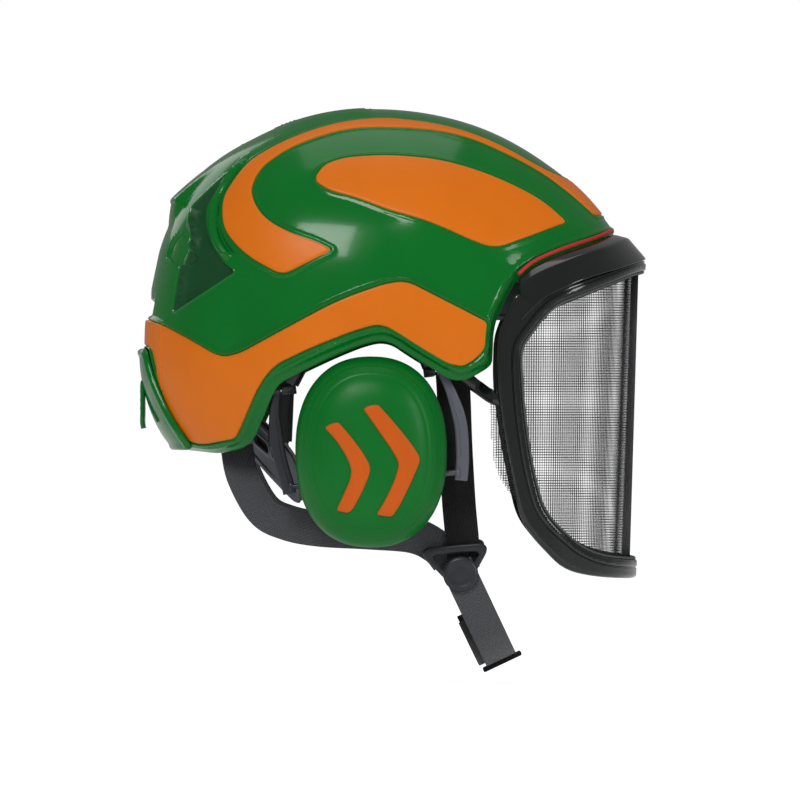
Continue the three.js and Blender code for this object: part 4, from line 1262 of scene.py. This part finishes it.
FRAME_OUTLINE = smooth_outline([
    (175, 25), (162, 25), (132, 14), (106, 6), (98, 0), (90, -2), (80, 4), (74, -8),
    (68.5, -21.9), (67.9, -45), (68.6, -57.7), (72.3, -86.3), (79.5, -120.9),
    (83.8, -136.7), (98, -153.7), (110.8, -165.4), (127, -169.3), (150.6, -171.8), (175, -172),
], 5)
WINDOW_OUTLINE = smooth_outline([
    (175, 20), (159.6, 18), (119.9, 2.6), (105.4, -3), (96.9, -10.3), (82.8, -29.2),
    (82.2, -38.9), (83.8, -67.5), (88.9, -102.1), (95.3, -126.4), (102.3, -136.7),
    (119.9, -152.4), (133.3, -157.9), (154, -160.6), (175, -161),
], 8)
GAUZE_OUTLINE = smooth_outline([
    (175, 20), (158, 18.5), (121, 4.5), (102, -2), (92, -10), (79, -28), (74, -50),
    (66, -54), (66, -74.2), (68.2, -101.5), (73, -113.6), (86, -131), (100, -143),
    (118, -155.5), (134, -161), (154, -163.5), (175, -164),
], 4)


def visor_grid():
    return grid(
        np.linspace(-VISOR_SPAN / 2, VISOR_SPAN / 2, 260), np.linspace(-174, 28, 160)
    )


def visor_frame():
    patch = visor_grid()
    patch.measure("frame", on_visor(FRAME_OUTLINE))
    patch.clip("frame")
    patch.measure("window", lambda p: -on_visor(WINDOW_OUTLINE)(p))
    patch.clip("window")
    edge = [(0, -1.7), (0.5, -0.6), (1.3, -0.1), (2.2, 0)]
    inner = [
        (0, -0.9), (0.4, -0.3), (1.0, 0.1), (3.6, 0.2), (4.4, 0), (4.8, -0.7), (5.2, -0.7),
        (5.6, 0),
    ]
    patch.split("frame", *depths_of(edge[1:]))
    patch.split("window", *depths_of(inner[1:]))
    top = profile(-patch.values["frame"], edge) + profile(-patch.values["window"], inner)
    return plate(patch, visor_at, top, np.full(len(top), -3.7))


def gasket():
    patch = visor_grid()
    patch.measure("window", on_visor(WINDOW_OUTLINE))
    patch.clip("window")
    patch.measure("inside", lambda p: -on_visor(WINDOW_OUTLINE)(p) - 1.7)
    patch.clip("inside")
    ring = [(0, -1.3), (0.5, -0.7), (1.1, -0.7), (1.7, -1.4)]
    patch.split("window", *depths_of(ring[1:-1]))
    top = profile(-patch.values["window"], ring)
    return plate(patch, visor_at, top, np.full(len(top), -3.6))


BROW = [
    [(142, 0, 40.2), (150.7, 0, 38.1), (162, 0, 25)],
    [(139.5, 32, 39.6), (148, 34, 37.2), (158.8, 36, 23.6)],
    [(128, 60, 34.6), (136, 65, 32), (144.5, 69, 18.5)],
    [(110, 78, 28.4), (117, 84, 25.4), (123, 90, 11.5)],
    [(92.5, 89.5, 20.6), (97, 95.5, 17), (99, 100.8, 0.5)],
    [(82.5, 95.5, 12.5), (82.5, 100, 8), (83, 104, -14)],
]
BROW_WALL = 2.6
BROW_COUNT = 140


def brow_line(which):
    """One long edge of the brow: 0 at the shell, 1 the ridge, 2 the lip."""
    left = np.array([section[which] for section in BROW], dtype=float)
    right = left[:0:-1] * (1, -1, 1)
    return smooth_path(np.vstack([right, left]), BROW_COUNT)


def rounded_ring(corners, reach=1.5):
    """A closed 3-D polygon with rounded corners: five points for each corner."""
    corners = np.asarray(corners)
    ring = []
    for i, here in enumerate(corners):
        before, after = corners[i - 1], corners[(i + 1) % len(corners)]
        back, on = np.linalg.norm(before - here), np.linalg.norm(after - here)
        cut = min(reach, 0.42 * back, 0.42 * on)
        start, end = here + (before - here) * cut / back, here + (after - here) * cut / on
        for t in (0, 0.25, 0.5, 0.75, 1):
            ring.append((1 - t) ** 2 * start + 2 * t * (1 - t) * here + t * t * end)
    return np.array(ring)


def brow():
    edge, ridge, lip = brow_line(0), brow_line(1), brow_line(2)
    rings = []
    for a, b, c in zip(edge, ridge, lip):
        inward = -unit([b[0] - VISOR_HINGE_X, b[1], 0])
        under = [
            p + inward * BROW_WALL * back + np.array([0, 0, -BROW_WALL * down])
            for p, back, down in ((c, 1.4, 0.2), (b, 1.2, 1.0), (a, 0.6, 1.0))
        ]
        rings.append(rounded_ring([a, b, c, *under]))
    return loft(rings)


def gauze():
    """Wires that cross without weaving: the uprights lie a little outside."""
    pitch, thick = 1.6, 0.16

    def inside(params):
        seen = visor_at(params, -4.5)[:, (0, 2)]
        return outline_distance(seen, GAUZE_OUTLINE)[0] < 0

    level = np.arange(-164, 20, pitch)
    round_wall = np.arange(-VISOR_SPAN / 2 + 2, VISOR_SPAN / 2 - 2, pitch)
    wires = []
    square = np.array([(thick, 0), (0, thick), (-thick, 0), (0, -thick)])
    for u in round_wall:
        heights = np.arange(-165, 21, 0.5)
        params = np.stack([np.full(len(heights), u), heights], 1)
        good = heights[inside(params)]
        if len(good) > 8:
            ends = np.linspace(good[0], good[-1], 5)
            path = visor_at(np.stack([np.full(5, u), ends], 1), -4.4)
            wires.append(sweep(path, (1, 0.01, 0), square))
    for z in level:
        run = np.arange(-VISOR_SPAN / 2 + 1, VISOR_SPAN / 2 - 1, 1.0)
        good = run[inside(np.stack([run, np.full(len(run), z)], 1))]
        groups = np.split(good, np.where(np.diff(good) > 1.5)[0] + 1)
        for group in groups:
            if len(group) > 6:
                stops = np.linspace(group[0], group[-1], max(len(group) // 3, 3))
                path = visor_at(np.stack([stops, np.full(len(stops), z)], 1), -4.6)
                wires.append(sweep(path, (0, 0, 1), square))
    return joined(*wires)


add("visor_rim", *visor_frame(), GLOSS, "visor", ["visor_frame"])
add("visor_brow", *brow(), GLOSS, "visor", ["visor_frame"], sharp=50)
add("visor_gasket", *gasket(), GASKET, "visor")
add("visor_mesh", *gauze(), WIRE, "visor", ["visor_gauze"], sharp=0)
seal_path = brow_line(0)
seal_path = seal_path + np.stack([
    np.full(BROW_COUNT, -1.2), -0.4 * np.sign(seal_path[:, 1]), np.full(BROW_COUNT, 2.1),
], 1)
seal_angles = np.linspace(0, 2 * math.pi, 12, endpoint=False)
seal_ring = np.stack([1.15 * np.cos(seal_angles), 1.15 * np.sin(seal_angles)], 1)
add("seal", *sweep(seal_path, (0, 0, 1), seal_ring), RED, "visor", ["visor_seal"])


def flat_strip(points, width, thick, count=50, corner=0.8):
    """A bar that lies flat against the wearer's right side. width is a number or a
    function of the share done."""
    path = smooth_path([(x, -out, z) for x, out, z in points], count)
    along = unit(np.gradient(path, axis=0))
    across = np.stack([along[:, 2], np.zeros(count), -along[:, 0]], 1)

    def section(t):
        return rounded_box(width(t) if callable(width) else width, thick, corner)

    return sweep(path, across, section)


def side_button(x, z, steps, sides=48):
    """A body turned about a line straight out to the right: steps are (out, radius)."""
    return turned([(out, radius) for out, radius in steps], (x, 0, z), (0, -1, 0), sides)


visor_arm = joined(
    side_button(VISOR_HINGE_X, 0, [(84, 3.9), (84, 7.4), (84.6, 8), (86.4, 8), (87, 7.4), (87, 3.9)]),
    flat_strip(
        [
            (VISOR_HINGE_X, 85.5, 0), (30, 85.5, -31), (52, 85.5, -50), (58, 85.9, -54.5),
            (66, 91.5, -60.2), (70, 94.2, -62),
        ],
        lambda t: 9.0 - 2.0 * ease(np.array([t]), 0.2, 0.9)[0], 3, 60, 1.1,
    ),
)
add_pair("visor_arm", visor_arm, GLOSS, "visor", ["visor_arm_{}"])
visor_foot = flat_strip([(67, 98.4, -60), (70, 98.6, -61.5), (74, 98.6, -63)], 8, 3.6, 12, 1.2)
add_pair("visor_foot", visor_foot, GLOSS, "visor")
pivot = side_button(VISOR_HINGE_X, 0, [
    (83.6, 0.3), (83.6, 3.0), (84, 3.4), (95, 3.4), (95, 7), (95.8, 8), (97, 8), (97.3, 7),
    (98, 7), (98.3, 8), (102.8, 8), (102.8, 0.3),
])
add_pair("visor_pivot", pivot, DARK, "helmet", ["visor_pivot_{}"])


# ---------------------------------------------------------------- ear units
EAR_HUB_X, EAR_HUB_Z = -4, -12
SWING_REAR = np.array([-63, -89.2, -56])
SWING_FRONT = np.array([31, -91, -44.2])
TILT_REAR = np.array([-58.4, -92.2, -115])
TILT_FRONT = np.array([45.6, -92.2, -106])
swing_along = unit(SWING_FRONT - SWING_REAR)
tilt_along = unit(TILT_FRONT - TILT_REAR)


def barrel(end, steps, sides=32):
    return turned(steps, end, swing_along, sides)


ear_mount = side_button(EAR_HUB_X, EAR_HUB_Z, [
    (87.6, 0.3), (87.6, 3.2), (88, 3.9), (94, 3.9), (94, 7.6), (94.7, 8.4), (97, 8.4),
    (97.4, 7.6), (98.2, 7.6), (98.6, 8.4), (102.4, 8.4), (102.4, 0.3),
])
add_pair("ear_mount", ear_mount, DARK, "helmet", ["ear_mount_{}"])
carrier = joined(
    side_button(EAR_HUB_X, EAR_HUB_Z, [
        (88.6, 4.4), (88.6, 8.3), (89.3, 9), (92.7, 9), (93.4, 8.3), (93.4, 4.4),
    ]),
    flat_strip([(-4, 91, -12), (-26, 91, -20), (-48, 91, -36), (-58, 89.5, -52)], 7, 4.6, 40, 1.2),
    flat_strip([(-4, 91, -12), (10, 91, -20), (22, 91, -32), (26.8, 91, -41.5)], 7, 4.6, 30, 1.2),
    barrel(SWING_REAR, [(0.4, 0.3), (0.4, 2.6), (0.8, 3), (6.4, 3), (6.9, 2.6), (6.9, 0.3)]),
    barrel(SWING_FRONT, [(-6.9, 0.3), (-6.9, 2.6), (-6.4, 3), (-0.8, 3), (-0.4, 2.6), (-0.4, 0.3)]),
)
add_pair("ear_carrier", carrier, DARK, "ear_carrier_{}", ["ear_carrier_{}"])
PIN = [
    (-6.4, 0.2), (-6.4, 1.2), (7.3, 1.2), (7.3, 2.0), (7.6, 2.4), (8.1, 2.4), (8.4, 2.0),
    (8.4, 0.2),
]
for end, sign, name in ((SWING_REAR, -1, "rear"), (SWING_FRONT, 1, "front")):
    steps = [(along * sign, radius) for along, radius in PIN]
    add_pair(
        f"pin_{name}", barrel(end, steps), STEEL, "ear_carrier_{}", [f"swing_pin_{name}_{{}}"]
    )

REAR_LEG = [
    (-66.2, 89.2, -57), (-67, 90, -74), (-64, 91.4, -96), (-59.5, 92, -112), (-57.8, 92, -119),
]
FRONT_LEG = [
    (34.4, 91, -44.8), (40.6, 91.4, -58), (46, 91.8, -76), (47.4, 92, -96), (46.4, 92, -111),
]


def leg_barrel(end, sign):
    steps = [(0.6, 1.8), (0.6, 2.5), (0.9, 2.9), (5.6, 2.9), (5.9, 2.5), (5.9, 1.8)]
    return barrel(end, [(along * sign, radius) for along, radius in steps])


LEG_TOP, LEG_SPREAD, LEG_THICK = 5.4, 2.6, 3.4


def leg_width(share):
    """The leg is narrow at its barrel, where it swings close to the shell."""
    return LEG_TOP + LEG_SPREAD * float(ease(np.array(share), 0.05, 0.45))


def leg(end, sign, path, tilt, inside):
    ridge = [(x, out + 1.5, z) for x, out, z in path[1:-1]]
    return joined(
        leg_barrel(end, sign),
        flat_strip(path, leg_width, LEG_THICK, 60, 1.2),
        flat_strip(ridge, 2.6, 0.9, 40, 0.4),
        turned([(0, 0.3), (0, 3.4), (0.6, 3.9), (1.6, 3.9)], tilt, inside, 32),
        turned([(0, 0.3), (0, 1.7), (9.6, 1.7), (9.6, 0.3)], tilt, inside, 24),
    )


rear_leg = leg(SWING_REAR, -1, REAR_LEG, TILT_REAR, tilt_along)
front_leg = leg(SWING_FRONT, 1, FRONT_LEG, TILT_FRONT, -tilt_along)
add_pair("leg_rear", rear_leg, DARK, "ear_fork_{}", ["ear_leg_rear_{}"])
add_pair("leg_front", front_leg, GREY, "ear_fork_{}", ["ear_leg_front_{}"])

CUP_X, CUP_Z, CUP_HALF_X, CUP_HALF_Z, CUP_POWER = -8.3, -93.6, 46, 58, 2.3
CUP_SIDES = 160
cup_angles = np.linspace(0, 2 * math.pi, CUP_SIDES, endpoint=False)


def cup_ring(shrink, out, half_x=CUP_HALF_X, half_z=CUP_HALF_Z):
    c, s = np.cos(cup_angles), np.sin(cup_angles)
    a, b = half_x - shrink, half_z - shrink
    r = (np.abs(c / a) ** CUP_POWER + np.abs(s / b) ** CUP_POWER) ** (-1 / CUP_POWER)
    return np.stack([CUP_X + r * c, np.full(CUP_SIDES, -float(out)), CUP_Z + r * s], 1)


def chaikin(points, rounds=3):
    points = np.asarray(points, dtype=float)
    for _ in range(rounds):
        a, b = points[:-1], points[1:]
        cut = np.stack([0.75 * a + 0.25 * b, 0.25 * a + 0.75 * b], 1).reshape(-1, 2)
        points = np.vstack([points[:1], cut, points[-1:]])
    return points


CUP_FACE = chaikin([
    (0.4, 98), (0, 100), (0.2, 103), (1.6, 108), (4.6, 113), (9.5, 118.4), (11.2, 119.0),
    (12.6, 120.6), (17, 123.2), (24, 125.4), (34, 126.4), (45.4, 126.8),
])
CUP_RIM = [
    (10.5, 119), (5.5, 114), (4.5, 100), (4.5, 90.2), (3.9, 89.6), (0.5, 89.6), (-0.1, 90.2),
    (-0.1, 95.2), (0.5, 95.8), (0.5, 96.8),
]


def ear_cup():
    rings = [cup_ring(shrink, out) for shrink, out in CUP_RIM]
    rings += [cup_ring(shrink, out) for shrink, out in CUP_FACE]
    back = cup_ring(42, 120)
    return loft([back, *rings])


def cup_out(x, z):
    """How far out the cup's face is at each point seen from the side."""
    dx, dz = x - CUP_X, z - CUP_Z
    low, high = np.zeros(len(x)), np.full(len(x), 45.9)
    for _ in range(30):
        middle = (low + high) / 2
        a, b = CUP_HALF_X - middle, CUP_HALF_Z - middle
        inside = np.abs(dx / a) ** CUP_POWER + np.abs(dz / b) ** CUP_POWER < 1
        low, high = np.where(inside, middle, low), np.where(inside, high, middle)
    face = CUP_FACE[4:]
    return np.interp(low, face[:, 0], face[:, 1])


def on_cup(params, out):
    x, z = params[:, 0], params[:, 1]
    step = 0.4
    base = cup_out(x, z)
    nx = -(cup_out(x + step, z) - cup_out(x - step, z)) / (2 * step)
    nz = -(cup_out(x, z + step) - cup_out(x, z - step)) / (2 * step)
    normal = unit(np.stack([nx, np.full(len(x), -1.0), nz], 1))
    normal[:, 1] = -np.abs(normal[:, 1])
    return np.stack([x, -base, z], 1) + normal * np.reshape(out, (-1, 1))


SMALL_CHEVRON = smooth_outline([
    (-36.3, -78.6), (-32.4, -76.2), (-27.9, -75.4), (-20.6, -83.8), (-13.1, -93.7),
    (-8.8, -101.7), (-8.8, -106.1), (-13.1, -117.0), (-19.3, -128.2), (-21.8, -130.3),
    (-29.2, -128.8), (-25.5, -120.8), (-20.6, -109.7), (-20.0, -103.6), (-23.0, -96.1),
    (-29.2, -86.3),
], 1.5)
LARGE_CHEVRON = smooth_outline([
    (-13.1, -67.2), (-8.8, -65.1), (-3.9, -64.8), (6.6, -76.4), (16.4, -88.8), (21.1, -96.1),
    (21.1, -99.9), (16.4, -111), (9.1, -125.8), (4.7, -132.2), (2.3, -132.5), (-5.1, -131.3),
    (-0.8, -124.6), (5.4, -112.2), (8.5, -102.3), (8.1, -98.6), (2.9, -90), (-5.7, -77.7),
], 1.5)


def chevron(outline):
    low, high = outline.min(0) - 1, outline.max(0) + 1
    patch = grid(np.arange(low[0], high[0], 1.2), np.arange(low[1], high[1], 1.2))
    patch.measure("outline", lambda p: outline_distance(p, outline)[0])
    patch.clip("outline")
    edge = [(0, 0.2), (0.25, 0.75), (0.6, 1.05), (1.2, 1.2)]
    patch.split("outline", *depths_of(edge[1:]))
    top = profile(-patch.values["outline"], edge)
    points, faces = plate(patch, on_cup, top, np.full(len(top), -0.4))
    return points, outward(points, faces)


add_pair("cup", ear_cup(), CUP_GREEN, "ear_cup_{}", ["ear_cup_{}"], sharp=50)
add_pair("mark_small", chevron(SMALL_CHEVRON), CHEVRON, "ear_cup_{}", ["chevron_small_{}"])
add_pair("mark_large", chevron(LARGE_CHEVRON), CHEVRON, "ear_cup_{}", ["chevron_large_{}"])


def ear_cushion():
    middle_out, half_thick, width = 81.5, 6.6, 15.6
    rings = []
    for angle in np.linspace(0, 2 * math.pi, 20, endpoint=False):
        c, s = math.cos(angle), math.sin(angle)
        shrink = 8.5 - width / 2 * np.sign(c) * abs(c) ** 0.75
        out = middle_out + half_thick * np.sign(s) * abs(s) ** 0.75
        rings.append(cup_ring(shrink, out, 38.5, 52.5))
    points, faces = loft(rings, closed=True)
    return points, outward(points, faces)


for cushion in add_pair("cushion", ear_cushion(), PADDING, "ear_cup_{}", ["ear_cushion_{}"]):
    soften(cushion, voxel=4.0, limit=1.2)
foam_rings = [cup_ring(shrink, out, 36, 47) for shrink, out in (
    (30, 94.3), (3, 94.2), (0.8, 94.6), (0, 96), (0, 98), (0.8, 98.8), (3, 99), (30, 99),
)]
for pad in add_pair("cup_foam", loft(foam_rings), EAR_FOAM, "ear_cup_{}", ["ear_foam_{}"]):
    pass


# ---------------------------------------------------------------- harness
STRAP_WIDE, STRAP_THICK = 20, 1.4
LINING_WIDE = 23


def add_straps(name, shape, material, body, replaces):
    points, faces, uv = shape
    add_pair(name, (points, faces), material, body, replaces, uv=uv, sharp=50)


front_path = smooth_path([
    (38, -76, -7.5), (40, -74.6, -28), (42.2, -71.4, -54), (43.6, -70.4, -90),
    (45.6, -70.6, -125), (47.6, -72.2, -148), (48, -73.4, -164),
], 160)
front_width = (1, 0, 0.06)
front_strap = strap(front_path, front_width, STRAP_WIDE, STRAP_THICK)
add_straps("strap_front", front_strap, WEB_BLACK, "helmet", ["front_strap_{}"])
rear_path = smooth_path([
    (-91, -44, -91), (-87, -56, -109), (-75, -63.5, -130), (-60, -65.4, -138),
    (-40, -66, -141.8), (-10, -66.6, -143.5), (16.6, -68.6, -145.7), (30.7, -69.8, -152),
    (38, -69.8, -160),
], 200)
rear_along = unit(np.gradient(rear_path, axis=0))
rear_across = np.stack([rear_along[:, 2], np.zeros(200), -rear_along[:, 0]], 1)
rear_strap = strap(rear_path, rear_across, STRAP_WIDE, STRAP_THICK)
add_straps("strap_rear", rear_strap, WEB_GREY, "helmet", ["rear_strap_{}"])


def divider():
    outer = smooth_path(smooth_outline([(18.6, -152.6), (66, -148.6), (47, -182)], 11), 120, True)
    inner = smooth_path(smooth_outline([(27.5, -157), (59, -154.4), (45.5, -173)], 5), 120, True)
    shift = np.argmin(np.linalg.norm(inner - outer[0], axis=1))
    inner = np.roll(inner, -shift, axis=0)
    middle, half = (outer + inner) / 2, np.linalg.norm(outer - inner, axis=1) / 2
    toward = unit(outer - inner)
    rings = []
    for angle in np.linspace(0, 2 * math.pi, 16, endpoint=False):
        c = np.sign(math.cos(angle)) * abs(math.cos(angle)) ** 0.6
        s = np.sign(math.sin(angle)) * abs(math.sin(angle)) ** 0.6
        place = middle + toward * (half * c)[:, None]
        rings.append(np.stack([place[:, 0], np.full(120, -76.5 - 1.7 * s), place[:, 1]], 1))
    return loft(rings, closed=True)


CHIN_X, CHIN_Z = 46.3, -168.2
add_pair("divider", divider(), DARK, "helmet", ["strap_divider_{}"])
disc = side_button(CHIN_X, CHIN_Z, [
    (80.6, 0.3), (80.6, 10.2), (81.1, 10.8), (82.6, 10.6), (83.6, 9.4), (83.9, 8.4),
    (83.7, 7.6), (83.4, 6.8), (83.5, 4), (83.6, 0.3),
], 64)
add_pair("disc", disc, DARK, "helmet", ["divider_disc_{}"])

CHIN_DROP = 59.5
CHIN_DOWN = np.array([0.427, 0, -0.904])
CHIN_ACROSS = np.array([0.904, 0, 0.427])
CHIN_PATH = np.array([
    (79.3, -7), (79.3, 14), (76, 28), (66, 42), (48, 53), (24, 58.4), (0, CHIN_DROP),
])


def chin_path(inset, first, shift, count=260):
    places = []
    half = CHIN_PATH[first:]
    for side, rows in ((-1, half), (1, half[-2::-1])):
        for out, down in rows:
            share = down / CHIN_DROP
            y = side * (out - inset * (1 - max(share, 0) ** 3))
            place = np.array([CHIN_X, y, CHIN_Z]) + CHIN_DOWN * (down - inset * share)
            places.append(place + CHIN_ACROSS * shift)
    return smooth_path(places, count)


def add_chin(name, shape, material, node):
    points, faces, uv = shape
    add(name, points, faces, material, "chin", [node], uv=uv, sharp=50)


chin_strap = strap(chin_path(0, 0, 0), CHIN_ACROSS, STRAP_WIDE, STRAP_THICK)
add_chin("strap_chin", chin_strap, WEB_GREY, "chin_strap")
chin_lining = strap(chin_path(2.2, 2, -2.5), CHIN_ACROSS, LINING_WIDE, STRAP_THICK)
add_chin("strap_lining", chin_lining, LINING, "chin_lining")
keeper_path = np.array([CHIN_X, 0, CHIN_Z]) + CHIN_DOWN * (CHIN_DROP + 2.6)
keeper_path = smooth_path(
    [keeper_path + (0, y, 0) - CHIN_DOWN * 0.5 * (y / 13) ** 2 for y in (-13, -6, 0, 6, 13)], 60
)
add_chin("strap_keeper", strap(keeper_path, CHIN_ACROSS, 26, 2.4, 1.0, 3), WEB_BLACK, "chin_keeper")


# ---------------------------------------------------------------- setting
def area(name, place, aim, size, power, tall=None):
    light = bpy.data.lights.new(name, "AREA")
    light.shape = "RECTANGLE"
    light.size = size
    light.size_y = tall or size
    light.energy = power
    lamp = bpy.data.objects.new(name, light)
    bpy.context.scene.collection.objects.link(lamp)
    lamp.location = place
    lamp.rotation_euler = (Vector(aim) - Vector(place)).to_track_quat("-Z", "Y").to_euler()


FLOOR_HEIGHT = -0.2375
floor_mesh = bpy.data.meshes.new("floor")
FLOOR = 30.0
floor_corners = [(-FLOOR, -FLOOR), (FLOOR, -FLOOR), (FLOOR, FLOOR), (-FLOOR, FLOOR)]
floor_mesh.from_pydata([(x, y, FLOOR_HEIGHT) for x, y in floor_corners], [], [(0, 1, 2, 3)])
floor_shader = Shader("floor", 1.0, specular=0.0)
floor_shader.principled.inputs["Base Color"].default_value = (0.92, 0.92, 0.92, 1.0)
floor_shader.principled.inputs["Emission Color"].default_value = (1.0, 1.0, 1.0, 1.0)
floor_ray = floor_shader.node("ShaderNodeLightPath")
floor_glow = floor_shader.node(
    "ShaderNodeMapRange",
    {"Value": floor_ray.outputs["Is Camera Ray"], "To Min": 0.15, "To Max": 0.84},
)
floor_shader.tree.links.new(
    floor_glow.outputs["Result"], floor_shader.principled.inputs["Emission Strength"]
)
floor_mesh.materials.append(floor_shader.material)
floor = bpy.data.objects.new("floor", floor_mesh)
bpy.context.scene.collection.objects.link(floor)
floor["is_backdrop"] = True

area("key", (-0.5, -1.6, 1.25), (0, 0, -0.02), 0.7, 15)
area("front", (1.5, -1.1, 0.5), (0.02, 0, -0.06), 0.4, 6, 0.9)
area("back", (-1.1, 1.5, 0.9), (0, 0, -0.05), 1.0, 4)
area("top", (0.0, 0.3, 1.6), (0, 0, 0), 0.9, 2.5)

world = bpy.data.worlds.new("world")
world.use_nodes = True
background = world.node_tree.nodes["Background"]
path_kind = world.node_tree.nodes.new("ShaderNodeLightPath")
brightness = world.node_tree.nodes.new("ShaderNodeMapRange")
brightness.inputs["To Min"].default_value = 0.22
brightness.inputs["To Max"].default_value = 1.0
world.node_tree.links.new(path_kind.outputs["Is Camera Ray"], brightness.inputs["Value"])
world.node_tree.links.new(brightness.outputs["Result"], background.inputs["Strength"])
background.inputs["Color"].default_value = (1.0, 1.0, 1.0, 1.0)
bpy.context.scene.world = world
bpy.context.scene.view_settings.view_transform = "Standard"


def plain(value):
    """Bounds as plain lists of numbers."""
    if hasattr(value, "tolist"):
        return value.tolist()
    if isinstance(value, (list, tuple, Vector)):
        return [plain(part) for part in value]
    if isinstance(value, dict):
        return {key: plain(part) for key, part in value.items()}
    return float(value)


sizes = {"cad": plain(cad_box), "model": plain(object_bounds())}
